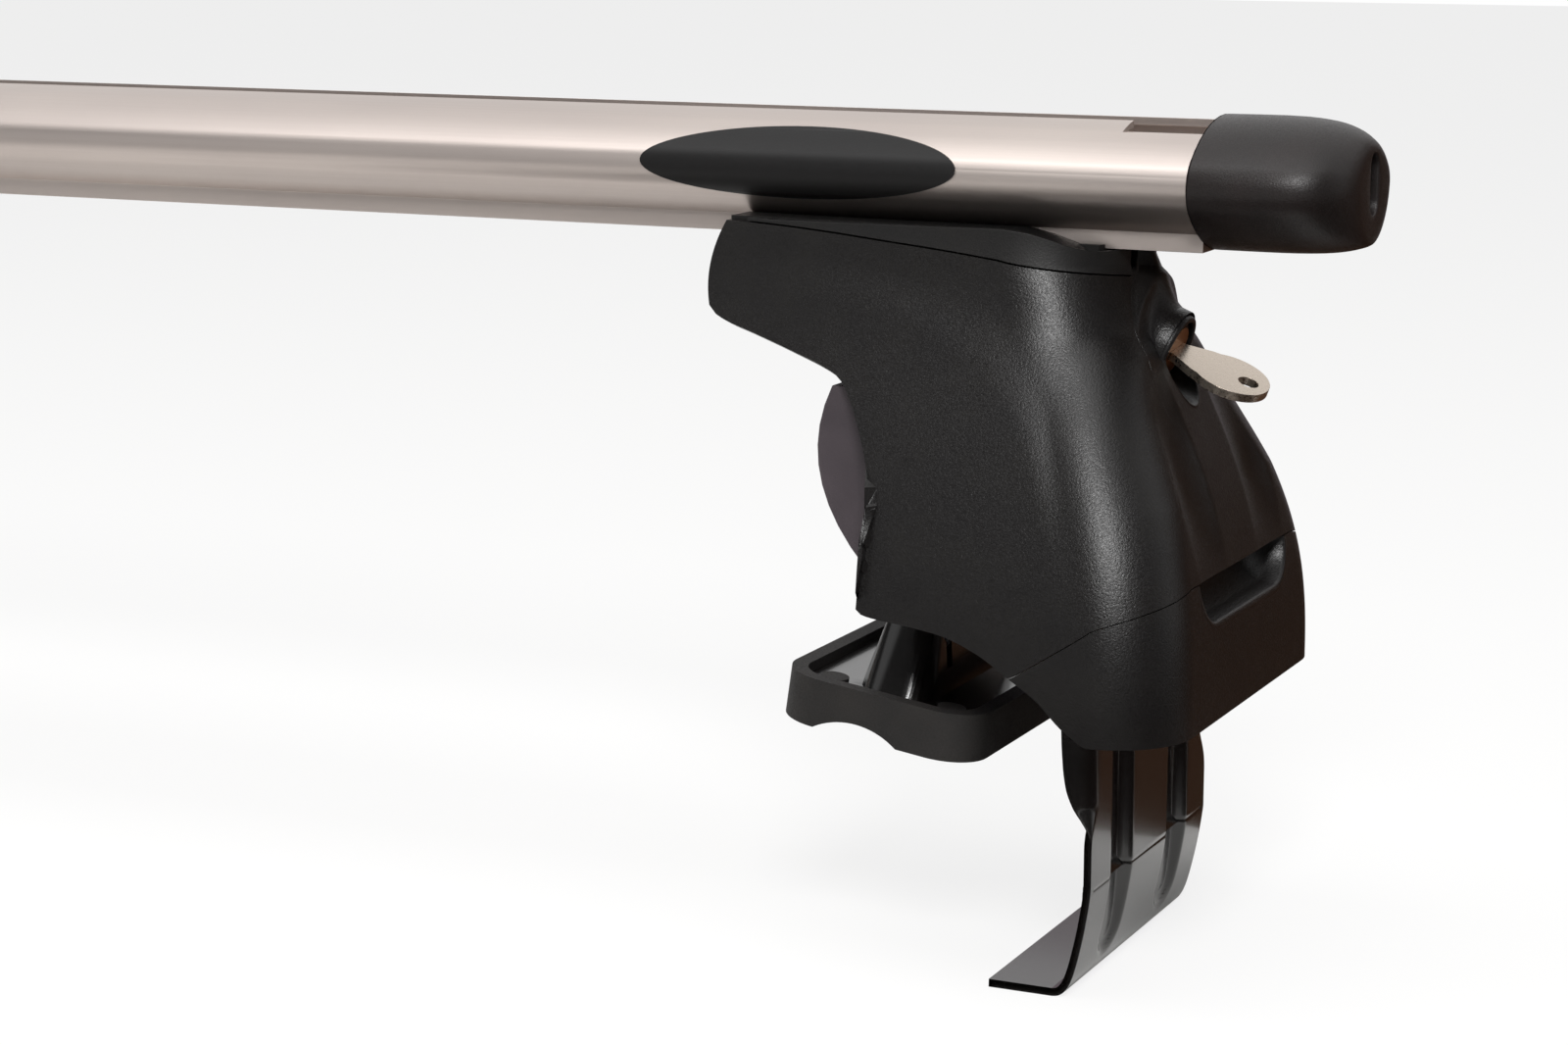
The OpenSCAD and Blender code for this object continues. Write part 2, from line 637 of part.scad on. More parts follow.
// Keyway: the same slot through plug and cam seat
module keyway(length) {
    translate([-key_thick / 2 - 0.1, -4.6, -length]) cube([key_thick + 0.2, 9.2, length + past]);
}

module lock_plug() {
    color("#a5794f") on_lock() rotate([0, 0, key_turn]) {
        difference() {
            union() {
                translate([0, 0, -barrel_len - 1.2]) cylinder(barrel_len + 1.2, r = plug_radius, $fn = 64);
                translate([-3, -3, -barrel_len - 3.6]) cube([6, 6, 3]);
            }
            keyway(blade_len + 1);
        }
    }
}

// Cam on the back of the plug: a flat finger with a square hole
module lock_cam() {
    color("#9a9a98") on_lock() translate([0, 0, -barrel_len - 3.2]) rotate([0, 0, key_turn]) difference() {
        union() {
            cylinder(2, r = 5.5, $fn = 48);
            translate([0, -4, 0]) cube([12, 8, 2]);
            translate([12, 0, 0]) cylinder(2, r = 4, $fn = 48);
        }
        translate([-3.05, -3.05, -past]) cube([6.1, 6.1, 4]);
    }
}

// Key: round bow with a hole, short neck and a notched blade in the keyway
module key() {
    bow_round = bow_width / 2;
    mid = bow_len - bow_round;
    color("#c9bbac") on_lock() rotate([0, 0, key_turn]) translate([-key_thick / 2, 0, 0]) difference() {
        rotate([0, 90, 0]) linear_extrude(key_thick) difference() {
            union() {
                translate([-mid, 0]) circle(bow_round, $fn = 64);
                polygon([[-0.8, -4.2], [-0.8, 4.2], [-7, bow_round - 2.6], [-mid, bow_round - 0.4],
                    [-mid, -bow_round + 0.4], [-7, -bow_round + 2.6]]);
                translate([-1, -4.2]) square([blade_len + 1, 8.4]);
            }
            translate([-bow_len + 5.2, 0]) circle(2.6, $fn = 32);
            for (i = [0 : 4]) translate([3.4 + 2.5 * i, 4.2]) rotate(45) square(0.9 + 0.5 * (i % 3), center = true);
        }
    }
}

// Hook: the sheet hangs straight to the bend, then leans inwards in a shallow bow to the heel of its lip
hook_low = -foot_height;
bend_z = hook_low + bend_height;
heel_x = hook_face - leg_lean;
// Points of the bow as shares of the lean and of the height below the bend
leg_bow = [[0, 0], [0.04, 0.12], [0.18, 0.34], [0.34, 0.54], [0.53, 0.76], [0.7, 0.9]];

module hook_leg() {
    inner = hook_sheet * 1.04;
    low = hook_low + hook_sheet;
    polygon(concat([[hook_face, hook_shoulder]],
        [for (p = leg_bow) [hook_face - leg_lean * p[0], bend_z - bend_height * p[1]]],
        [[heel_x + 1.2, hook_low + 1], [heel_x + 0.2, hook_low + 0.3], [heel_x - 1.2, hook_low],
            [heel_x - lip_len, hook_low], [heel_x - lip_len, low], [heel_x - 2.2, low],
            [heel_x - 1, low + 0.5], [heel_x - 0.2, low + 1.4]],
        [for (k = [len(leg_bow) - 2 : -1 : 0]) let (p = leg_bow[k])
            [hook_face - leg_lean * p[0] - inner, bend_z - bend_height * p[1]]],
        [[hook_face - hook_sheet, bend_z + 2], [hook_face - hook_sheet, hook_shoulder]]));
}

// Pressed grooves: a straight channel down to the bend, then one that runs out above the lip
groove_spacing = 21;
module groove_run(depth, widen) {
    top = groove_width / 2 + widen;
    foot_half = top - 2;
    run_out = 2.6;
    for (s = [-1, 1]) translate([hook_face, s * groove_spacing, bend_z + 2.5]) {
        linear_extrude(hook_shoulder - 9 - bend_z - 2.5 + widen)
            polygon([[past, -top], [past, top], [-depth, foot_half], [-depth, -foot_half]]);
        rotate([0, run_out, 0]) translate([0, 0, -22]) linear_extrude(23.5)
            polygon([[past, 0.2 - top], [past, top - 0.2], [-depth, foot_half - 0.2], [-depth, 0.2 - foot_half]]);
    }
}

// Half space inside the hook's outer line, which trims the ribs behind the grooves
module behind_hook() {
    across(hook_width / 2) polygon(concat([[hook_face - 12, hook_shoulder], [hook_face, hook_shoulder]],
        [for (p = leg_bow) [hook_face - leg_lean * p[0], bend_z - bend_height * p[1]]],
        [[hook_face - 16, bend_z - bend_height * 0.9], [hook_face - 16, bend_z]]));
}

// Side flange: deep behind the skirt, running out above the bend
module hook_flange(s) {
    half = hook_width / 2;
    translate([0, s > 0 ? half : -half + hook_sheet, 0]) rotate([90, 0, 0]) linear_extrude(hook_sheet)
        polygon([[hook_face, hook_shoulder], [hook_face - 8, hook_shoulder - 3],
            [hook_face - 8.3, hook_shoulder - 34], [hook_face - 7.9, hook_shoulder - 43],
            [hook_face - 7.2, hook_shoulder - 49], [hook_face - 5.8, hook_shoulder - 53.7],
            [hook_face - 3.7, hook_shoulder - 57.6], [hook_face - hook_sheet, bend_z + 13.8],
            [hook_face, bend_z + 12]]);
}

// Cutter that rounds the bend of a flange, with its axis on z
module flange_round(s, height) {
    difference() {
        translate([0, s > 0 ? 0 : -flange_radius - past, 0])
            cube([flange_radius + past, flange_radius + past, height]);
        translate([0, 0, -past]) cylinder(height + 2 * past, r = flange_radius, $fn = 48);
    }
}

flange_radius = 5;
// Level where the flange's rounding starts to run out
round_low = bend_z + 24;
module hook() {
    pin = hook_pin_radius + slip;
    half = hook_width / 2;
    fill = flange_radius * 0.5;
    color("#141112") difference() {
        union() {
            across(half) hook_leg();
            translate([hook_face - hook_sheet, 0, 0]) rotate([90, 0, 90]) linear_extrude(hook_sheet)
                polygon([[-half, hook_shoulder], [-neck_half - 4, hook_shoulder + 8], [-neck_half, hook_shoulder + 14],
                    [-neck_half, hook_pin_z], [neck_half, hook_pin_z], [neck_half, hook_shoulder + 14],
                    [neck_half + 4, hook_shoulder + 8], [half, hook_shoulder]]);
            translate([hook_pin_x, neck_half, hook_pin_z]) rotate([90, 0, 0])
                rotate_extrude(angle = 205, $fn = 64) translate([pin, 0]) square([hook_sheet, 2 * neck_half]);
            for (s = [-1, 1]) {
                hook_flange(s);
                translate([hook_face, s * half, bend_z + 20]) linear_extrude(hook_shoulder - bend_z - 22)
                    polygon([[-hook_sheet - fill, -s * (hook_sheet - bite)], [-hook_sheet + bite, -s * (hook_sheet + fill)],
                        [-0.4, -s * 0.4], [-hook_sheet, -s * 0.4]]);
            }
            intersection() {
                groove_run(groove_depth + hook_sheet, 1.4);
                behind_hook();
            }
        }
        groove_run(groove_depth, 0);
        for (s = [-1, 1]) translate([hook_face - flange_radius, s * (half - flange_radius), round_low])
            intersection() {
                translate([0, 0, -12]) flange_round(s, hook_shoulder - round_low + 12 + past);
                rotate(a = 55, v = [-s, 1, 0]) translate([-80, -80, 0]) cube([160, 160, 80]);
            }
        across(screw_radius + 0.5) translate([hook_face - 2 * hook_sheet, screw_z - 8])
            square([4 * hook_sheet, 16]);
    }
}

// Clamp screw along x, through the hook into the barrel nut
screw_seat = hook_face + 0.2 + washer_thick;

module clamp_screw() {
    color("#8d8d8b") translate([screw_seat, 0, screw_z]) rotate([0, 90, 0]) difference() {
        union() {
            cylinder(head_height, r = head_radius, $fn = 64);
            translate([0, 0, -screw_len]) cylinder(screw_len + bite, r = screw_radius, $fn = 48);
        }
        translate([0, 0, head_height - 4]) cylinder(4 + past, r = socket_flats / sqrt(3), $fn = 6);
    }
}

module washer() {
    color("#9a9a98") translate([screw_seat - washer_thick, 0, screw_z]) rotate([0, 90, 0]) difference() {
        cylinder(washer_thick, r = washer_radius, $fn = 64);
        translate([0, 0, -past]) cylinder(washer_thick + 2 * past, r = screw_radius + run, $fn = 48);
    }
}

module barrel_nut() {
    color("#8d8d8b") difference() {
        cross(nut_x, screw_z, nut_radius, tower_gap + tower_sheet);
        translate([nut_x - 20, 0, screw_z]) rotate([0, 90, 0])
            cylinder(40, r = screw_radius + run, $fn = 48);
    }
}

module hook_pin() {
    color("#8d8d8b") cross(hook_pin_x, hook_pin_z, hook_pin_radius, tower_gap + tower_sheet + 1);
}

// Pad: drawn round the rocking pin, tilted with the roof
module on_pad() {
    translate([pad_pin_x, 0, pad_pin_z]) rotate([0, pad_tilt, 0]) children();
}
rim_top = -13;
plate_top = rim_top - rim_height;
pad_low = rim_top - pad_height;
ridge_half = pad_length / 2 - 9;
pad_pin_half = 30;
button_x = pad_width / 2 - 11;
button_y = pad_length / 2 - 12;

module rounded_slab(width, length, height, radius) {
    for (s = [-1, 1]) for (t = [-1, 1])
        translate([s * (width / 2 - radius), t * (length / 2 - radius), 0])
            cylinder(height, r = radius, $fn = 48);
    translate([-width / 2, -length / 2 + radius, 0]) cube([width, length - 2 * radius, height]);
    translate([-width / 2 + radius, -length / 2, 0]) cube([width - 2 * radius, length, height]);
}

// Pressed ridge of the pad's plate: crest round the pin, feet spread on the plate
module ridge(grow) {
    hull() {
        cross(0, 0, pad_pin_radius + run + grow, 27 + grow, 32);
        translate([0, 0, plate_top - plate_thick])
            rounded_slab(15 + 2 * grow, 2 * (ridge_half - plate_thick) + 2 * grow, 1.5, 5 + grow);
    }
}

module pad_plate() {
    gap = tower_sheet + 2 * slip;
    inset = rim_width + slip;
    color("#171516") on_pad() difference() {
        union() {
            translate([0, 0, plate_top - plate_thick])
                rounded_slab(pad_width - 2 * inset, pad_length - 2 * inset, plate_thick, 8);
            ridge(plate_thick);
        }
        translate([0, 0, -bite]) ridge(0);
        cross(0, 0, pad_pin_radius + run, pad_pin_half + slip);
        for (s = [-1, 1]) translate([-15, s * (tower_gap + tower_sheet / 2) - gap / 2, -9.5])
            cube([30, gap, 30]);
        for (s = [-1, 1]) for (t = [-1, 1]) translate([s * button_x, t * button_y, plate_top - 10])
            cylinder(20, r = button_radius + run, $fn = 48);
    }
}

module pad_pin() {
    color("#8d8d8b") cross(pad_pin_x, pad_pin_z, pad_pin_radius, pad_pin_half);
}

// Rubber pad: a tray round the plate, buttons through it, and an arched groove underneath
module rubber_pad() {
    inner = rim_width;
    floor_top = plate_top - plate_thick;
    color("#1e1b1a") on_pad() difference() {
        union() {
            difference() {
                translate([0, 0, pad_low]) rounded_slab(pad_width, pad_length, pad_height, 12);
                translate([0, 0, floor_top])
                    rounded_slab(pad_width - 2 * inner, pad_length - 2 * inner, pad_height, 8 + slip);
            }
            for (s = [-1, 1]) for (t = [-1, 1]) translate([s * button_x, t * button_y, floor_top - bite]) {
                cylinder(plate_thick + bite + 0.8, r = button_radius, $fn = 48);
            }
        }
        cross(-4, pad_low - 16.5, 20, pad_length, 96);
    }
}

// Height of the oval's middle above the lips' underside
bar_z = foot_height + oval_up;

// Stands a foot at the right (s = 1) or left (s = -1) end of the bar
module foot(s) {
    rotate([0, 0, s > 0 ? 0 : 180]) translate([bar_len / 2 - foot_inset, 0, foot_height]) children();
}

module cap_at(s) {
    rotate([0, 0, s > 0 ? 0 : 180]) translate([bar_len / 2, 0, bar_z]) children();
}

bar_extrusion();
cap_at(1) end_cap();  // right_end_cap
cap_at(-1) end_cap();  // left_end_cap
blank_badge();
foot(1) cradle();  // right_cradle
foot(-1) cradle();  // left_cradle
foot(1) tower();  // right_tower
foot(-1) tower();  // left_tower
foot(1) tee_bolt();  // right_tee_bolt
foot(-1) tee_bolt();  // left_tee_bolt
foot(1) tee_nut();  // right_tee_nut
foot(-1) tee_nut();  // left_tee_nut
foot(1) housing();  // right_housing
foot(-1) housing();  // left_housing
foot(1) cover();  // right_cover
foot(-1) cover();  // left_cover
foot(1) skirt();  // right_skirt
foot(-1) skirt();  // left_skirt
foot(1) lock_barrel();  // right_lock_barrel
foot(-1) lock_barrel();  // left_lock_barrel
foot(1) lock_plug();  // right_lock_plug
foot(-1) lock_plug();  // left_lock_plug
foot(1) lock_cam();  // right_lock_cam
foot(-1) lock_cam();  // left_lock_cam
foot(1) lock_catches();  // right_lock_catches
foot(-1) lock_catches();  // left_lock_catches
foot(1) key();  // right_key
foot(1) hook_pin();  // right_hook_pin
foot(-1) hook_pin();  // left_hook_pin
foot(1) hook();  // right_hook
foot(-1) hook();  // left_hook
foot(1) clamp_screw();  // right_clamp_screw
foot(-1) clamp_screw();  // left_clamp_screw
foot(1) washer();  // right_washer
foot(-1) washer();  // left_washer
foot(1) barrel_nut();  // right_barrel_nut
foot(-1) barrel_nut();  // left_barrel_nut
foot(1) pad_pin();  // right_pad_pin
foot(-1) pad_pin();  // left_pad_pin
foot(1) pad_plate();  // right_pad_plate
foot(-1) pad_plate();  // left_pad_plate
foot(1) rubber_pad();  // right_rubber_pad
foot(-1) rubber_pad();  // left_rubber_pad
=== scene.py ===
"""Roof rack crossbar on a pale studio floor: finishes, detailed pieces, camera and light."""

import json
import math

import bmesh
import bpy
from mathutils import Matrix, Vector


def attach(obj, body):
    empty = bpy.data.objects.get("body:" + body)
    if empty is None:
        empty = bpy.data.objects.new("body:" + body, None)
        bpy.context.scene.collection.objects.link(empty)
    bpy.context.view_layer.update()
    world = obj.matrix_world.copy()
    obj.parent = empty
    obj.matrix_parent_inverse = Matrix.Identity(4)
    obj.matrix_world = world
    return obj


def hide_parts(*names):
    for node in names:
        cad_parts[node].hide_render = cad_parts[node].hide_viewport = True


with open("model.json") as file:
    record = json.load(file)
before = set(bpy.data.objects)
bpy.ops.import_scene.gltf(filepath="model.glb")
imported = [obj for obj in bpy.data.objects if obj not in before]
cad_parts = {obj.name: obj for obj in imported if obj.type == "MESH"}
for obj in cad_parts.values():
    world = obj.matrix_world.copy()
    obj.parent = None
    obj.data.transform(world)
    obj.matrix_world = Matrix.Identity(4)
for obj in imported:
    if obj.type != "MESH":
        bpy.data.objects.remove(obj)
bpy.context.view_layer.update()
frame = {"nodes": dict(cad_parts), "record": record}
nodes = frame["nodes"]
SIDES = ("right", "left")

# Finishes


def shade(code):
    """Linear colour of an sRGB hex code."""
    parts = [int(code[i:i + 2], 16) / 255 for i in (1, 3, 5)]
    return [p / 12.92 if p <= 0.04045 else ((p + 0.055) / 1.055) ** 2.4 for p in parts] + [1]


def per_mm(size):
    """Texture scale at which one grain is this many millimetres across."""
    return 1000 / size


def node(tree, kind, inputs=None, **settings):
    made = tree.nodes.new(kind)
    for name, value in settings.items():
        setattr(made, name, value)
    for name, value in (inputs or {}).items():
        if isinstance(value, bpy.types.NodeSocket):
            tree.links.new(value, made.inputs[name])
        else:
            made.inputs[name].default_value = value
    return made


def finish(name, **fixed):
    """A new material, its tree, its shader with the fixed values set, and the object's coordinates."""
    made = bpy.data.materials.new(name)
    made.use_nodes = True
    tree = made.node_tree
    shader = tree.nodes["Principled BSDF"]
    for socket, value in fixed.items():
        shader.inputs[socket.replace("_", " ")].default_value = value
    place = node(tree, "ShaderNodeTexCoord").outputs["Object"]
    return made, tree, shader, place


def grain(tree, place, size, detail=2, stretch=None, rough=0.5):
    """Noise whose grains are size millimetres across, drawn out along the bar if stretched."""
    if stretch:
        place = node(tree, "ShaderNodeMapping", {"Vector": place, "Scale": stretch}).outputs[0]
    return node(tree, "ShaderNodeTexNoise", {
        "Vector": place, "Scale": per_mm(size), "Detail": detail, "Roughness": rough}).outputs[0]


def between(tree, value, low, high, start=0.3, end=0.7):
    """A value, such as noise, turned into a range of its own."""
    return node(tree, "ShaderNodeMapRange", {
        "Value": value, "From Min": start, "From Max": end, "To Min": low, "To Max": high}).outputs[0]


def tone(tree, shader, noise, first, second, start=0.3, end=0.7):
    """Base colour that runs from one tone to the other with the noise."""
    share = between(tree, noise, 0, 1, start, end)
    mixed = node(tree, "ShaderNodeMix", {0: share, 6: shade(first), 7: shade(second)}, data_type="RGBA")
    tree.links.new(mixed.outputs[2], shader.inputs["Base Color"])


def roughen(tree, shader, noise, low, high):
    """Roughness that runs from one value to the other with the noise."""
    tree.links.new(between(tree, noise, low, high), shader.inputs["Roughness"])


def bump(tree, shader, height, depth):
    """Surface relief of the given depth in millimetres."""
    made = node(tree, "ShaderNodeBump", {"Height": height, "Distance": depth / 1000, "Strength": 1})
    tree.links.new(made.outputs[0], shader.inputs["Normal"])


def reckon(tree, operation, first, second):
    return node(tree, "ShaderNodeMath", {0: first, 1: second}, operation=operation).outputs[0]


def drawn_aluminium():
    # Extruded profile, satin anodised: fine die lines along the bar, soft broad reflections
    made, tree, shader, place = finish("satin_anodised_aluminium", Metallic=1)
    lines = grain(tree, place, 0.5, 3, (0.004, 1, 1))
    clouds = grain(tree, place, 30, 2, (0.3, 1, 1))
    tone(tree, shader, clouds, "#C2B8B2", "#B9AFAA")
    roughen(tree, shader, lines, 0.4, 0.5)
    bump(tree, shader, lines, 0.006)
    return made


def spark_eroded_plastic(name, light, dark, size, depth, rough):
    # Glass-filled polyamide from a spark-eroded mould: each pit catches the light as a small sparkle
    made, tree, shader, place = finish(name, Specular_IOR_Level=0.34)
    pits = grain(tree, place, size, 2, rough=0.7)
    broad = grain(tree, place, 12, 2)
    tone(tree, shader, broad, dark, light)
    roughen(tree, shader, pits, rough - 0.08, rough + 0.1)
    bump(tree, shader, pits, depth)
    return made


def coated_steel():
    # Steel under a gloss black coat: deep colour, near mirror-like, with the coat's slight orange peel
    made, tree, shader, place = finish("gloss_black_coated_steel", Coat_Weight=0.35, Coat_Roughness=0.08)
    peel = grain(tree, place, 2.4, 1)
    dust = grain(tree, place, 0.6, 2)
    tone(tree, shader, dust, "#0B0908", "#100D0C", 0.45, 0.75)
    roughen(tree, shader, dust, 0.2, 0.24)
    bump(tree, shader, peel, 0.006)
    return made


def moulded_rubber():
    # EPDM rubber: matt and slightly dusty, with the fine bloom that rubber gets
    made, tree, shader, place = finish("moulded_rubber", Specular_IOR_Level=0.4)
    bloom = grain(tree, place, 9, 4)
    skin = grain(tree, place, 0.5, 2)
    tone(tree, shader, bloom, "#151312", "#1D1A18")
    roughen(tree, shader, skin, 0.6, 0.78)
    bump(tree, shader, skin, 0.02)
    return made


def plated_metal(name, light, dark, rough, size, depth):
    # Plated or turned metal: small crystals in the plating break up the shine
    made, tree, shader, place = finish(name, Metallic=1)
    crystals = grain(tree, place, size, 3)
    tone(tree, shader, crystals, dark, light)
    roughen(tree, shader, crystals, rough - 0.06, rough + 0.08)
    bump(tree, shader, crystals, depth)
    return made


def lacquered_badge():
    # Satin lacquered sheet: flat, dark and smooth, a faint metal flake in it
    made, tree, shader, place = finish("satin_lacquered_badge", Specular_IOR_Level=0.25)
    flake = grain(tree, place, 0.4, 1)
    tone(tree, shader, flake, "#0B0A0A", "#110F10", 0.5, 0.8)
    roughen(tree, shader, flake, 0.42, 0.52)
    return made


aluminium = drawn_aluminium()
cover_black = spark_eroded_plastic("spark_eroded_polyamide", "#100E0D", "#0C0A0A", 0.55, 0.1, 0.36)
cap_black = spark_eroded_plastic("fine_grained_polyamide", "#160F0E", "#110C0B", 0.4, 0.07, 0.42)
cradle_black = spark_eroded_plastic("cradle_polyamide", "#0F0D0C", "#0B0A0A", 0.5, 0.06, 0.5)
housing_grey = spark_eroded_plastic("grey_polypropylene", "#3E373B", "#352F33", 0.8, 0.02, 0.5)
hook_black = coated_steel()
rubber = moulded_rubber()
zinc_steel = plated_metal("zinc_plated_steel", "#A3A3A0", "#8E8E8B", 0.38, 1.2, 0.01)
tower_steel = plated_metal("zinc_plated_tower_steel", "#85858A", "#707075", 0.45, 2.5, 0.01)
lock_zinc = plated_metal("die_cast_zinc", "#45413F", "#33302F", 0.45, 0.8, 0.02)
brass = plated_metal("turned_brass", "#B4855F", "#9E7450", 0.36, 0.5, 0.02)
nickel = plated_metal("nickel_plated_brass", "#D0C3B5", "#BFB2A4", 0.3, 0.7, 0.008)
badge_lacquer = lacquered_badge()

FINISHES = {
    "bar_extrusion": aluminium, "blank_badge": badge_lacquer, "end_cap": cap_black,
    "cradle": cradle_black, "tower": tower_steel, "lock_catches": zinc_steel,
    "tee_bolt": zinc_steel, "tee_nut": zinc_steel,
    "housing": housing_grey, "cover": cover_black, "skirt": cover_black,
    "lock_barrel": lock_zinc, "lock_plug": brass, "lock_cam": zinc_steel, "key": nickel,
    "hook_pin": zinc_steel, "hook": hook_black, "clamp_screw": zinc_steel, "washer": zinc_steel,
    "barrel_nut": zinc_steel, "pad_pin": zinc_steel, "pad_plate": hook_black, "rubber_pad": rubber,
}

SLOTS = {
    "bar_extrusion": "aluminium_profile", "blank_badge": "badge_black", "cradle": "cradle_plastic",
    "tower": "plated_steel", "lock_catches": "plated_steel", "tee_bolt": "plated_steel",
    "tee_nut": "plated_steel", "housing": "grey_plastic", "lock_barrel": "lock_case",
    "lock_plug": "lock_brass", "lock_cam": "plated_steel", "key": "key_nickel",
    "hook_pin": "plated_steel", "hook": "hook_coating", "clamp_screw": "plated_steel",
    "washer": "plated_steel", "barrel_nut": "plated_steel", "pad_pin": "plated_steel",
    "pad_plate": "hook_coating", "rubber_pad": "pad_rubber",
}


def plain_name(name):
    """A node's name without its side."""
    return name.split("_", 1)[1] if name.split("_")[0] in SIDES else name


for name, piece in nodes.items():
    piece.data.materials.clear()
    piece.data.materials.append(FINISHES[plain_name(name)])

# Pieces. Lengths in this part are millimetres in a foot's own frame: x from the cradle's outer end
# outwards, y to the back, z up from the bar's underside

# Where a foot's frame and an end cap's frame stand at the right end, in metres
FOOT_ORIGIN, CAP_ORIGIN = (0.546, 0, 0.1807), (0.56, 0, 0.197)


def foot_place(side, origin=FOOT_ORIGIN):
    """From a foot's own frame in millimetres to the row frame, or from a cap's with its own origin."""
    turn = Matrix.Rotation(0 if side == "right" else math.pi, 4, "Z")
    return turn @ Matrix.Translation(origin) @ Matrix.Scale(0.001, 4)


def mesh_of(shape, name):
    """A mesh of the bmesh, which is then done with."""
    mesh = bpy.data.meshes.new(name)
    shape.to_mesh(mesh)
    shape.free()
    return mesh


def add_object(name, data):
    made = bpy.data.objects.new(name, data)
    bpy.context.scene.collection.objects.link(made)
    return made


def settle(shape, name, material, body, slot, *stands_for, place=None, sharp=35):
    """Turns a bmesh into a finished piece in its place, with soft shading except at sharp edges."""
    if place is not None:
        bmesh.ops.transform(shape, matrix=place, verts=shape.verts)
    mesh = mesh_of(shape, name)
    mesh.shade_smooth()
    mesh.set_sharp_from_angle(angle=math.radians(sharp))
    mesh.materials.append(material)
    piece = add_object(name, mesh)
    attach(piece, body)
    if stands_for:
        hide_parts(*stands_for)
    return piece


def modify(piece, kind, **settings):
    made = piece.modifiers.new(kind.lower(), kind)
    for name, value in settings.items():
        setattr(made, name, value)


def thicken(piece, wall):
    """Gives a sheet a wall of this many millimetres, inwards."""
    modify(piece, "SOLIDIFY", thickness=wall / 1000, offset=-1, use_even_offset=False)


def round_edges(piece, width, segments=2, angle=30):
    """Rounds the edges that turn by more than the angle; the width is in millimetres."""
    modify(piece, "BEVEL", width=width / 1000, segments=segments, limit_method="ANGLE",
           angle_limit=math.radians(angle), profile=0.5, harden_normals=True, use_clamp_overlap=True)


def merged_copy(name):
    """A bmesh of a CAD node with its loose triangles merged into whole faces."""
    shape = bmesh.new()
    shape.from_mesh(nodes[name].data)
    bmesh.ops.remove_doubles(shape, verts=shape.verts, dist=2e-6)
    bmesh.ops.dissolve_limit(shape, angle_limit=math.radians(0.6), verts=shape.verts, edges=shape.edges)
    return shape


def cut_away(shape, side, through, facing):
    """Takes off what lies beyond a plane, given in the foot's own frame, and closes the cut."""
    place = foot_place(side)
    bmesh.ops.bisect_plane(shape, geom=shape.verts[:] + shape.edges[:] + shape.faces[:], clear_outer=True,
                           plane_co=place @ Vector(through), plane_no=place.to_3x3() @ Vector(facing))
    bmesh.ops.holes_fill(shape, edges=[e for e in shape.edges if e.is_boundary], sides=0)


# The tower's upper outer corner, which stands behind the cover's drawn-in one: a point and the way out
TOWER_CUT = (-13.5, 0, -9), (0.955, 0, 0.298)


def softened(name, width, segments):
    """A CAD node's shape with the edges rounded as the real one's are."""
    body = next(b for b, held in frame["record"]["behaviour"]["bodies"].items() if name in held)
    plain = plain_name(name)
    shape = merged_copy(name)
    if plain == "tower":
        cut_away(shape, name.split("_")[0], *TOWER_CUT)
    piece = settle(shape, name + "_piece", FINISHES[plain], body, SLOTS[plain], name)
    round_edges(piece, width, segments)


def mix(a, b, t):
    return a + (b - a) * t


def clip(value, low, high):
    return min(max(value, low), high)


def ease(t):
    t = clip(t, 0, 1)
    return t * t * (3 - 2 * t)


def over(a, b, soft):
    """The larger of two heights, with a soft fillet where they cross."""
    blend = max(soft - abs(a - b), 0) / soft
    return max(a, b) + blend * blend * soft / 4


def along(line, x):
    """Smooth curve through points of rising x."""
    if x <= line[0][0]:
        return line[0][1]
    if x >= line[-1][0]:
        return line[-1][1]
    k = max(i for i in range(len(line) - 1) if line[i][0] <= x)
    (x0, y0), (x1, y1) = line[k], line[k + 1]

    def slope(i):
        if i == 0 or i == len(line) - 1:
            j = min(i, len(line) - 2)
            return (line[j + 1][1] - line[j][1]) / (line[j + 1][0] - line[j][0])
        left = (line[i][1] - line[i - 1][1]) / (line[i][0] - line[i - 1][0])
        right = (line[i + 1][1] - line[i][1]) / (line[i + 1][0] - line[i][0])
        return 0 if left * right <= 0 else 2 * left * right / (left + right)

    w = x1 - x0
    t = (x - x0) / w
    return ((2 * t ** 3 - 3 * t * t + 1) * y0 + (t ** 3 - 2 * t * t + t) * w * slope(k)
            + (3 * t * t - 2 * t ** 3) * y1 + (t ** 3 - t * t) * w * slope(k + 1))


def sheet_of(shape, columns, rows, point):
    """A grid of columns by rows whose corners go where point(column, row) says."""
    made = bmesh.ops.create_grid(shape, x_segments=columns - 1, y_segments=rows - 1, size=0.5)["verts"]
    for vert in made:
        vert.co = point(round((vert.co.x + 0.5) * (columns - 1)), round((vert.co.y + 0.5) * (rows - 1)))
    return made


# The moulded cover: the solids' surface drawn finer, with its upper corner drawn in and its flank
# modelled. The two edges are given as x along the flank and level

TOP_EDGE = [(-109, 4.4), (-92.7, 3.5), (-79.3, 2.5), (-63.5, 1), (-45, -0.8), (-24.6, -3.1),
            (-9.3, -4.6), (4, -4.7)]
LOW_EDGE = [(-109, -16.6), (-107.6, -18.6), (-104, -20.4), (-99, -22), (-86, -26.3), (-76, -29.8),
            (-72.6, -31.6), (-70, -35), (-66, -44), (-61, -58), (-57.8, -76), (-56.2, -83), (-54.4, -85.2),
            (-51, -86), (-42, -87), (-33, -88.4), (-24, -91.6), (-15, -97), (-8, -101.6), (-2, -107.4),
            (4, -111.5)]
DROP = 111.5
SHELL_WALL, SEAM_GAP = 2.5, 0.12
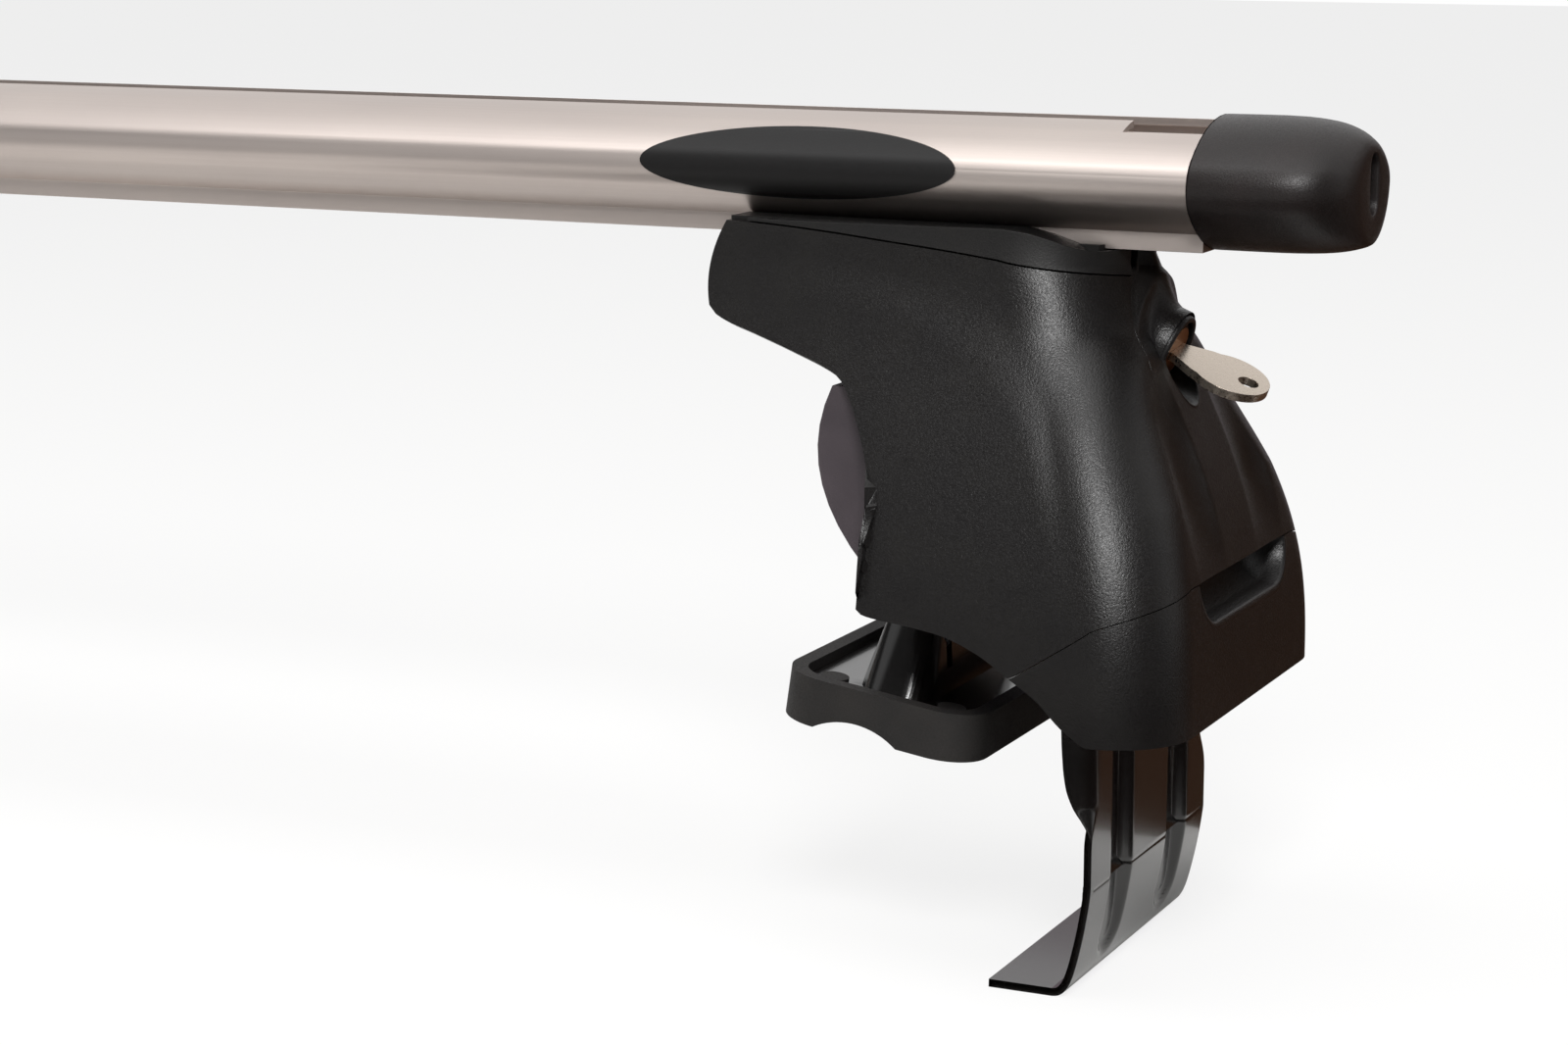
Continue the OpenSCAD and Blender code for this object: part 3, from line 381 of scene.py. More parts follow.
# Half depth at the top, at the foot and at most, with the flank's modelling; corner radius above and below
HALF_TOP, HALF_LOW, HALF_MOST = 30.8, 64.5, 64.48
CORNER_TOP, CORNER_LOW = 26, 20
ARM_X, BODY_X, FLANK_END, SKIRT_X = -109, -56, 4, -15
END_TOP = -7.4


def wall_half(z):
    """Half depth of the cover at level z."""
    return mix(HALF_TOP, HALF_LOW, ease(1 - (1 - clip((5 - z) / (5 + DROP), 0, 1)) ** 1.25))


def wall_end(z):
    """Reach of the end face at level z: drawn back under the bar, swelling out below the lock."""
    return (24 * (1 - (1 - clip((-z - 20) / (DROP - 20), 0, 1) ** 1.25) ** 2.8)
            - 6 * clip((z + 26) / 22, 0, 1) ** 1.5)


def wall_corner(z):
    return mix(CORNER_TOP, CORNER_LOW, ease((-z - 10) / 32))


def wall_start(z):
    """End of the arms at level z."""
    return ARM_X + 0.0225 * (z + 9) ** 2


def flank_x(x, z):
    """Place along the flank of a column at level z."""
    if x <= BODY_X:
        return mix(wall_start(z), BODY_X, (x - ARM_X) / (BODY_X - ARM_X))
    return mix(BODY_X, wall_end(z) - wall_corner(z), (x - BODY_X) / (FLANK_END - BODY_X))


def flute(y, z):
    """Soft hollow on each side of the ridge under the lock."""
    return 1.6 * max(0, 1 - ((abs(y) - 23) / 11) ** 2) * ease((-z - 24) / 16) * ease((z + 82) / 26)


# The crest above the lock: level and reach of its ridge, and where it ends below and beside
RIDGE = [(-18, 4.6), (-13.4, 1.9), (-6.8, -1), (-2.4, -2.9), (-0.6, -3.4)]
RIDGE_LOW, RIDGE_HALF = -20, 12


def end_x(y, z):
    """The end face at a depth and a level, with the crest that runs up from the lock."""
    flat = wall_end(z) - flute(y, z)
    r = wall_corner(z)
    round_by = min(max(abs(y) - wall_half(z) + r, 0), r)
    flat -= r - math.sqrt(r * r - round_by * round_by)
    if z < RIDGE_LOW or abs(y) > RIDGE_HALF:
        return flat
    crest = along(RIDGE, z) - 2.5 * (y / 5) ** 2 - 3 * ease((-z - 15) / 5)
    return over(flat, crest, 1.6)


def swell(x, z, at_x, at_z, wide, tall, lean=0):
    """Soft mound of height 1 around a point, leaning with the height."""
    u, w = (x - at_x - lean * (z - at_z)) / wide, (z - at_z) / tall
    return math.exp(-u * u - w * w)


# Edge of the flank's raised panel: level at which it starts, by x
PANEL_EDGE = [(-109, -7), (-88, -7.5), (-68, -10), (-50, -14), (-34, -20), (-24, -28), (-17, -38),
              (-12, -50), (-6, -70), (-1, -95), (4, -120)]


def flank_out(x, z):
    """How far the modelling of the flank stands out of its plain wall."""
    step = (along(PANEL_EDGE, x) - z) / (11 + 9 * ease((x + 60) / 50))
    panel = 0.9 * ease(0.5 + step) * ease((x + 112) / 40) * (1 - ease((-z - 35) / 40))
    return panel + 1.7 * swell(x, z, -12, -11, 10, 9, -0.3) - 0.7 * swell(x, z, -11, -30, 8, 12, -0.35)


def wall_point(column, z):
    """Point of the shell at level z in a column: x on the flank, turn of the corner, share of the end."""
    x, turn, share = column
    r, e, d = wall_corner(z), wall_end(z), wall_half(z)
    if share == 0:
        d += flank_out(flank_x(x, z) + r * math.sin(math.radians(turn)), z) * (1 - ease(turn / 80))
        d = min(d, HALF_MOST)
    if share > 0:
        y = mix(r - d, 0, share)
        return Vector((end_x(y, z), y, z))
    if turn > 0:
        a = math.radians(turn)
        y = r - d - r * math.cos(a)
        swept = e - flute(d - r, z) * ease(turn / 90) - r + r * math.sin(a)
        if z > RIDGE_LOW and abs(y) < RIDGE_HALF:
            swept = max(swept, end_x(y, z))
        return Vector((swept, y, z))
    return Vector((flank_x(x, z), -d, z))


def half_columns(first, flank, corner, end):
    """The front half's columns: so many steps along the flank, round the corner and over the end."""
    return ([(mix(first, FLANK_END, i / flank), 0, 0) for i in range(flank + 1)]
            + [(FLANK_END, 90 * i / corner, 0) for i in range(1, corner + 1)]
            + [(FLANK_END, 90, i / end) for i in range(1, end + 1)])


def seam(column):
    """Level of the parting line between cover and skirt."""
    x, turn, _ = column
    if turn > 0:
        return mix(-85.3, -76.7, (turn / 90) ** 0.7)
    return -mix(85.3, 97, (FLANK_END - x) / (FLANK_END - SKIRT_X))


# The crest's height over the end's edge. It stands between the cradle's two cheeks, which end at this
# turn of the corner
CREST, CREST_TURN = 6.6, 86


def cover_top(column):
    x, turn, _ = column
    if turn > CREST_TURN:
        return END_TOP + CREST
    level = along(TOP_EDGE, flank_x(x, END_TOP))
    return mix(level, END_TOP, (turn / 90) ** 0.8) if turn else level


def cover_low(column):
    x, turn, _ = column
    return along(LOW_EDGE, x) if turn == 0 and x <= SKIRT_X else seam(column) + SEAM_GAP


def skirt_low(column):
    x, turn, _ = column
    return along(LOW_EDGE, x) if turn == 0 else -DROP


def shell_grid(shape, columns, low, top, rows):
    """Both halves of a wall: the front half's columns, then the same mirrored to the back."""
    count = 2 * len(columns) - 1

    def point(i, j):
        front = i < len(columns)
        column = columns[i if front else count - 1 - i]
        found = wall_point(column, mix(low(column), top(column), j / (rows - 1)))
        return found if front else Vector((found.x, -found.y, found.z))

    return sheet_of(shape, count, rows, point)


# The lock's hood, a round patch on the end face: bore, thin rim, and a flare that dies out on the wall

LOCK = Vector((2.9, 0, -26.2))
LOCK_TILT = math.radians(22)
LOCK_OUT = Vector((math.cos(LOCK_TILT), 0, -math.sin(LOCK_TILT)))
LOCK_DOWN = Vector((-math.sin(LOCK_TILT), 0, -math.cos(LOCK_TILT)))
HOOD_REACH, RIM = 18, 0.6


def bore_edge(turn):
    """Radius of the opening: round above, drawn down below for the key's shoulder."""
    wide, down = 7.9, 2
    c, s = math.cos(turn), abs(math.sin(turn))
    if c <= 0:
        return wide
    if s > 1e-6 and wide * c / s <= down:
        return wide / s
    return down * c + math.sqrt(wide * wide - (down * s) ** 2)


def lock_point(turn, r, out):
    return LOCK + r * (math.cos(turn) * LOCK_DOWN + math.sin(turn) * Vector((0, 1, 0))) + out * LOCK_OUT


def wall_out(turn, r):
    """How far out the plain wall lies along the lock's axis."""
    out = 0
    for _ in range(20):
        p = lock_point(turn, r, out)
        out += 0.9 * (end_x(p.y, p.z) - p.x) / LOCK_OUT.x
    return out


def rim_out(beyond, turn):
    """Height of the hood at a distance outside the bore's edge, fuller above the lock."""
    above = max(-math.cos(turn), 0)
    deep, fade = 8.8 + 3 * above * above, 2.0 + 0.8 * above * above
    if beyond < 0.9:
        return RIM
    if beyond < 1.4:
        return RIM - 0.9 * (beyond - 0.9) ** 2
    return 0.37 - deep * (1 - math.exp(-(beyond - 1.4) / fade))


# The patch's rings: over the bore's floor, up its side, round the lip, out by these distances from the
# bore's edge, and on to the patch's reach
HOOD_WALL = (0.5, 0.75, 0.9, 1.05, 1.2, 1.35, 1.5, 1.7, 1.9, 2.2, 2.5, 2.9, 3.3, 3.8, 4.4, 5, 5.7, 6.5,
             7.4, 8.4)
HOOD_RINGS = ([("floor", s) for s in (0, 0.5, 0.93)]
              + [("side", h) for h in (-6.8, -6, -3, -1.2, -0.5)]
              + [("lip", b) for b in (0.1, 0.3)]
              + [("wall", b) for b in HOOD_WALL]
              + [("reach", s) for s in (0.25, 0.5, 0.75, 0.95, 1)])


def hood_reach(turn):
    """How far the patch goes from the lock's axis before it dips under the wall."""
    return max(HOOD_REACH, bore_edge(turn) + HOOD_WALL[-1] + 1.7 + 3.3 * max(math.cos(turn), 0))


def hood_point(turn, ring):
    kind, value = ring
    edge = bore_edge(turn)
    top = over(RIM, wall_out(turn, edge + 0.5), 1.2)
    if kind == "floor":
        return lock_point(turn, mix(6.8, edge, value), -7)
    if kind == "side":
        return lock_point(turn, edge, value if value < -1.5 else top + value)
    if kind == "lip":
        return lock_point(turn, edge + value, top - 0.5 * (1 - value / 0.4) ** 2)
    last = edge + HOOD_WALL[-1]
    r = edge + value if kind == "wall" else mix(last, hood_reach(turn), value)
    wall = wall_out(turn, r)
    out = over(rim_out(r - edge, turn), wall, 1.2 + 2.2 * ease((r - edge - 1.5) / 4))
    if kind == "reach":
        out = wall + 0.02 + (out - wall) * (1 - ease(value * 1.2)) - (0.35 if value == 1 else 0)
    return lock_point(turn, r, out)


def add_hood(shape):
    spokes = 120
    made = sheet_of(shape, spokes + 1, len(HOOD_RINGS),
                    lambda i, j: hood_point(2 * math.pi * i / spokes, HOOD_RINGS[j]))
    bmesh.ops.remove_doubles(shape, verts=made, dist=1e-4)


def open_up(shape, inside):
    """Takes away the faces of a wall that a patch covers."""
    gone = [f for f in shape.faces if inside(f.calc_center_median())]
    bmesh.ops.delete(shape, geom=gone, context="FACES")


def under_hood(p):
    """Whether the hood's patch covers a place on the end face."""
    away = p - LOCK
    away -= away.dot(LOCK_OUT) * LOCK_OUT
    return p.x > -6 and away.length < hood_reach(math.atan2(away.y, away.dot(LOCK_DOWN))) - 2.2


def cover_piece(side):
    shape = bmesh.new()
    shell_grid(shape, half_columns(ARM_X, 76, 18, 30), cover_low, cover_top, 84)
    open_up(shape, under_hood)
    add_hood(shape)
    outwards(shape, Vector((-30, 0, -50)))
    piece = settle(shape, side + "_cover_shell", cover_black, side + "_shell", "cover_plastic",
                   side + "_cover", place=foot_place(side), sharp=50)
    thicken(piece, SHELL_WALL)
    round_edges(piece, 0.6, angle=60)


def outwards(shape, middle):
    """Turns each open sheet so that it faces away from the middle of the foot."""
    bmesh.ops.recalc_face_normals(shape, faces=shape.faces)
    left = set(shape.faces)
    while left:
        island, todo = [], [left.pop()]
        while todo:
            face = todo.pop()
            island.append(face)
            for edge in face.edges:
                for near in edge.link_faces:
                    if near in left:
                        left.remove(near)
                        todo.append(near)
        facing = sum((f.calc_center_median() - middle).dot(f.normal) * f.calc_area() for f in island)
        if facing < 0:
            bmesh.ops.reverse_faces(shape, faces=island)


# Finger recess in the skirt: a scoop whose mouth is the parting line

SCOOP_HALF, SCOOP_DEEP = 34, 11
SCOOP_TOP = -76.95
# Size of each ring, and its height over the end face; from the lip inwards the hollow's own curve
SCOOP_RINGS = ([(1.16, -0.3), (1.12, 0.02), (1.05, 0.02), (1.0, -0.06), (0.975, -0.3), (0.95, -0.9)]
               + [(k, None) for k in (0.92, 0.86, 0.78, 0.68, 0.56, 0.42, 0.28, 0.14, 0)])


def scoop_point(t, ring):
    """t runs along the mouth's lower edge from front to back, ring from the edge to the scoop's spine."""
    size, out = ring
    arc = SCOOP_DEEP * math.pi / 2
    half = SCOOP_HALF - SCOOP_DEEP
    run = 2 * half
    s = t * (2 * arc + run)
    if s < arc:
        a = s / SCOOP_DEEP
        y, z = -half - size * SCOOP_DEEP * math.cos(a), -size * SCOOP_DEEP * math.sin(a)
    elif s < arc + run:
        y, z = -half + (s - arc), -size * SCOOP_DEEP
    else:
        a = (s - arc - run) / SCOOP_DEEP
        y, z = half + size * SCOOP_DEEP * math.sin(a), -size * SCOOP_DEEP * math.cos(a)
    z += SCOOP_TOP
    if out is None:
        out = -SCOOP_DEEP * math.sqrt(max(0, 1 - size * size)) * 0.94
    return Vector((end_x(y, z) + out, y, z))


def in_scoop(p):
    beyond = max(abs(p.y) - (SCOOP_HALF - SCOOP_DEEP), 0)
    return p.x > 5 and math.hypot(beyond, min(p.z - SCOOP_TOP, 0)) < 1.06 * SCOOP_DEEP


def skirt_piece(side):
    shape = bmesh.new()
    shell_grid(shape, half_columns(SKIRT_X, 16, 18, 50), skirt_low, lambda c: seam(c) - SEAM_GAP, 34)
    open_up(shape, in_scoop)
    steps = 120
    sheet_of(shape, steps + 1, len(SCOOP_RINGS), lambda i, j: scoop_point(i / steps, SCOOP_RINGS[j]))
    outwards(shape, Vector((-30, 0, -90)))
    piece = settle(shape, side + "_skirt_shell", cover_black, side + "_shell", "cover_plastic",
                   side + "_skirt", place=foot_place(side), sharp=50)
    thicken(piece, SHELL_WALL)
    round_edges(piece, 0.5, angle=60)


# Cradle: its outer faces carry on the cover's surface up to the bar

CHEEK_WALL, CHEEK_START = 2.6, -103
# The bar's rounded underside: its radius, and the half width that is flat
SADDLE_ROUND, SADDLE_FLAT = 35.3, 15
CHEEK_RIM = [(-109, 4.9), (-45, 5.1), (-33, 5.2), (-27, 4.7), (-20, 2.9), (-14, 0.6), (-8, -0.3), (4, -0.3)]


def saddle(y):
    """Level of the bar's underside at a depth."""
    near = max(abs(y) - CHEEK_WALL, 0)
    return SADDLE_ROUND - math.sqrt(max(SADDLE_ROUND ** 2 - near * near, 0)) if near > SADDLE_FLAT else 0


def cheek_piece(side):
    """The cradle's two outer faces, front and back, as sheets with their own wall."""
    flank, corner, rows = 70, 16, 9
    columns = ([(mix(CHEEK_START, FLANK_END, i / flank), 0, 0) for i in range(flank + 1)]
               + [(FLANK_END, (CREST_TURN - 3) * i / corner, 0) for i in range(1, corner + 1)])
    shape = bmesh.new()

    def point(i, j, back):
        column = columns[i]
        low = cover_top(column) + 0.4
        level = wall_point(column, 0)
        top = max(min(along(CHEEK_RIM, level.x), saddle(level.y) - 0.25), low + 0.8)
        found = wall_point(column, mix(low, top, j / (rows - 1)))
        return Vector((found.x, -found.y, found.z)) if back else found

    for back in (False, True):
        sheet_of(shape, len(columns), rows, lambda i, j: point(i, j, back))
    outwards(shape, Vector((-30, 0, 0)))
    piece = settle(shape, side + "_cradle_cheeks", cradle_black, side + "_foot", "cradle_plastic",
                   side + "_cradle", place=foot_place(side), sharp=50)
    thicken(piece, CHEEK_WALL)
    round_edges(piece, 0.5, angle=60)


def cradle_piece(side):
    """The cradle's seat, cut back to lie behind its outer faces."""
    shape = merged_copy(side + "_cradle")
    for turn in (15, 30, 45, 60, 75, 90):
        for back in (-1, 1):
            a = math.radians(turn)
            facing = Vector((math.sin(a), -math.cos(a) * back, 0))
            found = wall_point((FLANK_END, turn, 0), 0)
            through = Vector((found.x, found.y * back, 0)) - (CHEEK_WALL + 0.1) * facing
            cut_away(shape, side, through, facing)
    piece = settle(shape, side + "_cradle_seat", cradle_black, side + "_foot", "cradle_plastic",
                   side + "_cradle")
    round_edges(piece, 0.4)


# Hook: its head as in the solids, and its leg as one pressed sheet with grooves, flanges and lip

# Reach of its face, levels of its bend, of its lip and of the cut under its head, half width and sheet
HOOK_FACE, HOOK_BEND, HOOK_LOW, HOOK_CUT, HOOK_HALF, HOOK_SHEET = -1.2, -153.3, -180.7, -96, 43.2, 2
LIP_LONG = 26.3
# The pressed grooves: half way apart, half width, depth, and how far below the bend their round ends begin
GROOVE_AT, GROOVE_HALF, GROOVE_DEEP, GROOVE_END = 21, 7.6, 3.2, 14.5
CREASE_DEEP, CREASE_WIDE = 0.22, 0.45
# Way below the bend, and how far the sheet has turned in there
BOW = [(0, 0), (3.3, 0.42), (9.3, 1.38), (14.8, 2.5), (20.8, 4.0), (23.6, 5.0), (25.5, 6.1), (26.6, 7.2),
       (27.2, 8.4), (27.4, 9.6)]
# Level, and depth of the side flanges there
FLANGE = [(-142, 0), (-139.5, 0.6), (-136.6, 2.2), (-132.7, 5), (-128, 6.9), (-122, 7.8), (-113, 8.3),
          (-82, 8.3)]
# Columns of the leg's sheet: steps over its face, round each edge and down each flange
FACE_STEPS, EDGE_STEPS, FLANGE_STEPS = 130, 8, 3
LEG_COLUMNS = 2 * (EDGE_STEPS + FLANGE_STEPS) + FACE_STEPS + 1


def hook_rows():
    """Points of the leg's outer line, from the top down and along the lip: x, z and way below the bend."""
    levels = [HOOK_CUT - HOOK_BEND - 3 * i for i in range(10)]
    levels += [levels[-1] - 1.4 * i for i in range(1, 19)]
    levels = [v for v in levels if v > 2.5] + [2, 1.5, 1.1, 0.8, 0.55, 0.35, 0.18, 0]
    rows = [(HOOK_FACE, HOOK_BEND + v, -v) for v in levels]
    below = ([0.18, 0.35, 0.6, 1, 1.5, 2.2] + [3 + 0.8 * i for i in range(26)]
             + [23.6, 24.3, 25, 25.6, 26.1, 26.5, 26.85, 27.1, 27.28, 27.38])
    rows += [(HOOK_FACE - along(BOW, t), HOOK_BEND - t, t) for t in below]
    x = HOOK_FACE - BOW[-1][1]
    rows += [(mix(x, HOOK_FACE - LIP_LONG, k / 8), HOOK_LOW, 30) for k in range(9)]
    return rows


HOOK_ROWS = hook_rows()


def groove(y, t):
    """Depth of the pressed grooves at a depth y and a way below the bend."""
    reach = math.hypot(abs(y) - GROOVE_AT, max(0, t - GROOVE_END))
    deep = GROOVE_DEEP * (1 - 0.028 * max(t, 0))
    return deep * ease((GROOVE_HALF + 0.5 - reach) / 3)


def hook_point(i, j):
    """Point of the leg's sheet, sunk from its outer line by flange, edge, groove or crease."""
    x, z, t = HOOK_ROWS[j]
    deep = along(FLANGE, z) if t < 12 else 0
    r = clip(deep, 0.02, 5)
    flat = HOOK_HALF - r
    turned = EDGE_STEPS + FLANGE_STEPS
    side = -1 if i < turned else 1
    k = min(i, LEG_COLUMNS - 1 - i)
    if k < FLANGE_STEPS:
        y, sunk = side * HOOK_HALF, r + max(deep - r, 0.02) * (FLANGE_STEPS - k) / FLANGE_STEPS
    elif k < turned:
        a = math.pi / 2 * (turned - k) / EDGE_STEPS
        y, sunk = side * (flat + r * math.sin(a)), r - r * math.cos(a)
    else:
        y = mix(-flat, flat, (i - turned) / FACE_STEPS)
        sunk = groove(y, t) + CREASE_DEEP * math.exp(-(t / CREASE_WIDE) ** 2)
    x0, z0, _ = HOOK_ROWS[max(j - 1, 0)]
    x1, z1, _ = HOOK_ROWS[min(j + 1, len(HOOK_ROWS) - 1)]
    away = math.hypot(x1 - x0, z1 - z0)
    return Vector((x - sunk * (z0 - z1) / away, y, z - sunk * (x1 - x0) / away))


def hook_pieces(side):
    shape = bmesh.new()
    sheet_of(shape, LEG_COLUMNS, len(HOOK_ROWS), hook_point)
    outwards(shape, Vector((-12, 0, -140)))
    leg = settle(shape, side + "_hook_leg", hook_black, side + "_hook_body", "hook_coating", side + "_hook",
                 place=foot_place(side), sharp=50)
    thicken(leg, HOOK_SHEET)
    round_edges(leg, 0.35, angle=60)
    shape = merged_copy(side + "_hook")
    cut_away(shape, side, (0, 0, HOOK_CUT), (0, 0, -1))
    head = settle(shape, side + "_hook_head", hook_black, side + "_hook_body", "hook_coating",
                  side + "_hook")
    round_edges(head, 0.35)


# End cap: rings of one section that draw in towards a domed end, with an upright slot in it

# Each ring's place along the bar, and how far it is drawn in at its sides and at its top
CAP_RINGS = [(0, 0.35, 0.35), (0.25, 0.08, 0.08), (0.6, 0, 0), (8, -0.06, -0.06), (15, -0.06, -0.06),
             (20, 0.12, 0.1), (23, 0.4, 0.35), (25, 0.75, 0.6), (27, 1.35, 0.9), (28.5, 1.95, 1.25),
             (30, 2.8, 1.7), (31.4, 3.8, 2.25), (32.6, 4.95, 2.8), (33.8, 6.4, 3.5), (34.8, 7.9, 4.2),
             (35.7, 9.6, 4.9), (36.4, 11.4, 5.6), (37, 13.4, 6.4), (37.4, 15.6, 7.2), (37.5, 17.6, 7.9)]
CAP_SPOKES = 96
FACE_X, *FACE_DRAW = CAP_RINGS[-1]
SLOT_RINGS = [(FACE_X, 0.35), (37.35, 0.08), (36.9, 0), (33, 0), (26.5, 0)]
BAR_HALF, CAP_WALL = 27.5, 1.3
# The solids' cap is kept up to here, in metres, for the plug that it has inside the bar
PLUG_END = 0.5606


def cap_section(i, draw_side, draw_top):
    """Point i of the section, drawn in by the given amounts at its sides and at its top."""
    quarter = CAP_SPOKES // 4
    q, k = divmod(i % CAP_SPOKES, quarter)
    upper = q < 2
    k = k if q % 2 == 0 else quarter - k
    a = BAR_HALF + CAP_WALL - draw_side
    b = min(a - 1.2, 14.7 + CAP_WALL - draw_top if upper else 16.3 + 0.4 - 0.4 * draw_top)
    r = min(max(8.3 - 0.5 * draw_top, 2), b - 1)
    big = ((a - r) ** 2 + b * b - r * r) / (2 * (b - r))
    turn = math.atan2(big - b, a - r)
    if k <= 10:
        y, z = a - r + r * math.cos(turn * k / 10), r * math.sin(turn * k / 10)
    else:
        t = mix(turn, math.pi / 2, (k - 10) / (quarter - 10))
        y, z = big * math.cos(t), b - big + big * math.sin(t)
    return (y if q in (0, 3) else -y), (z if upper else -z)


def slot_edge(i, grow):
    """Point i of the upright slot's outline."""
    y, z = cap_section(i, *FACE_DRAW)
    a = math.atan2(z * 0.9, y)
    r, rise = 3.5 + grow, 4
    c, s = math.cos(a), abs(math.sin(a))
    if abs(c) > 1e-6 and r * s / abs(c) <= rise:
        far = r / abs(c)
    else:
        far = rise * s + math.sqrt(max(r * r - (rise * c) ** 2, 0))
    return far * c, far * math.sin(a) + 0.5


def cap_piece(side):
    shape = bmesh.new()
    rings = ([("skin", ring) for ring in CAP_RINGS] + [("face", 0.5)]
             + [("slot", ring) for ring in SLOT_RINGS])

    def point(i, j):
        kind, value = rings[j]
        if kind == "skin":
            y, z = cap_section(i, value[1], value[2])
            return Vector((value[0], y, z))
        if kind == "slot":
            y, z = slot_edge(i, value[1])
            return Vector((value[0], y, z))
        (y0, z0), (y1, z1) = cap_section(i, *FACE_DRAW), slot_edge(i, SLOT_RINGS[0][1])
        return Vector((FACE_X, mix(y0, y1, value), mix(z0, z1, value)))

    sheet_of(shape, CAP_SPOKES + 1, len(rings), point)
    bmesh.ops.remove_doubles(shape, verts=shape.verts, dist=1e-4)
    bmesh.ops.holes_fill(shape, edges=[e for e in shape.edges if e.is_boundary], sides=0)
    rib = bmesh.ops.create_cube(shape, size=1)["verts"]
    bmesh.ops.scale(shape, vec=(6, 7.2, 1.6), verts=rib)
    bmesh.ops.translate(shape, vec=(29.4, 0, 0.5), verts=rib)
    bmesh.ops.recalc_face_normals(shape, faces=shape.faces)
    bmesh.ops.transform(shape, matrix=foot_place(side, CAP_ORIGIN), verts=shape.verts)
    plug = merged_copy(side + "_end_cap")
    bmesh.ops.delete(plug, geom=[v for v in plug.verts if abs(v.co.x) > PLUG_END], context="VERTS")
    spare = mesh_of(plug, "plug")
    shape.from_mesh(spare)
    bpy.data.meshes.remove(spare)
    settle(shape, side + "_cap_piece", cap_black, side + "_cap_body", "cap_plastic", side + "_end_cap",
           sharp=40)


# How much the edges of the other parts are rounded, in millimetres, and in how many steps
EDGES = {"bar_extrusion": (0.3, 2), "blank_badge": (0.12, 2), "tower": (0.25, 2),
         "lock_catches": (0.2, 2), "tee_bolt": (0.3, 2), "tee_nut": (0.4, 2), "housing": (0.8, 3),
         "lock_barrel": (0.2, 2), "lock_plug": (0.15, 2), "lock_cam": (0.2, 2), "key": (0.2, 2),
         "hook_pin": (0.4, 2), "clamp_screw": (0.3, 2), "washer": (0.2, 2),
         "barrel_nut": (0.4, 2), "pad_pin": (0.4, 2), "pad_plate": (0.5, 2), "rubber_pad": (0.9, 3)}

for name in nodes:
    if plain_name(name) in EDGES:
        softened(name, *EDGES[plain_name(name)])
for side in SIDES:
    for build in (cover_piece, skirt_piece, cheek_piece, cradle_piece, hook_pieces, cap_piece):
        build(side)

# Studio

FLOOR_WIDE, FLOOR_GLOW = 12, 0.82
# The room's light on the object, and its level in reflections in front of it and behind it
ROOM_LEVEL, FRONT_LEVEL, BACK_LEVEL = 0.2, 0.1, 1


def flat_card(name, width, height, place):
    shape = bmesh.new()
    bmesh.ops.create_grid(shape, x_segments=1, y_segments=1, size=0.5)
    bmesh.ops.scale(shape, vec=(width, height, 1), verts=shape.verts)
    bmesh.ops.transform(shape, matrix=place, verts=shape.verts)
    return add_object(name, mesh_of(shape, name))


def studio_floor():
    """Pale floor: white to the camera, with the object's soft shadow kept on it."""
    floor = flat_card("floor", FLOOR_WIDE, FLOOR_WIDE, Matrix())
    made = bpy.data.materials.new("white_studio_paper")
    made.use_nodes = True
    tree = made.node_tree
    tree.nodes.clear()
    paper = node(tree, "ShaderNodeBsdfDiffuse", {"Color": shade("#F4F3F1")})
    glow = node(tree, "ShaderNodeEmission", {"Color": shade("#FFFFFF"), "Strength": 1})
    path = node(tree, "ShaderNodeLightPath")
    seen = reckon(tree, "MULTIPLY", path.outputs["Is Camera Ray"], FLOOR_GLOW)
    both = node(tree, "ShaderNodeMixShader", {0: seen, 1: paper.outputs[0], 2: glow.outputs[0]})
    node(tree, "ShaderNodeOutputMaterial", {"Surface": both.outputs[0]})
    floor.data.materials.append(made)


def glowing_flag(name, place, width, height, lean=90, colour="#523A2B"):
    """Card, black but glowing with its colour, that only reflections see, as a photographer sets one up
    beside glossy black parts: a painted reflection of a dim room.
    """
    card = flat_card(name, width, height,
                     Matrix.Translation(place) @ Matrix.Rotation(math.radians(lean), 4, "X"))
    # The card glows with its colour at strength 1 though it is no lamp: painted reflection in the glossy
    # parts
    made, _, shader, _ = finish("glowing_reflection_card", Roughness=1, Specular_IOR_Level=0, Emission_Strength=1)
    shader.inputs["Base Color"].default_value = shade("#0A0A0A")
    shader.inputs["Emission Color"].default_value = shade(colour)
    card.data.materials.append(made)
    card.visible_camera = card.visible_diffuse = card.visible_shadow = card.visible_transmission = False


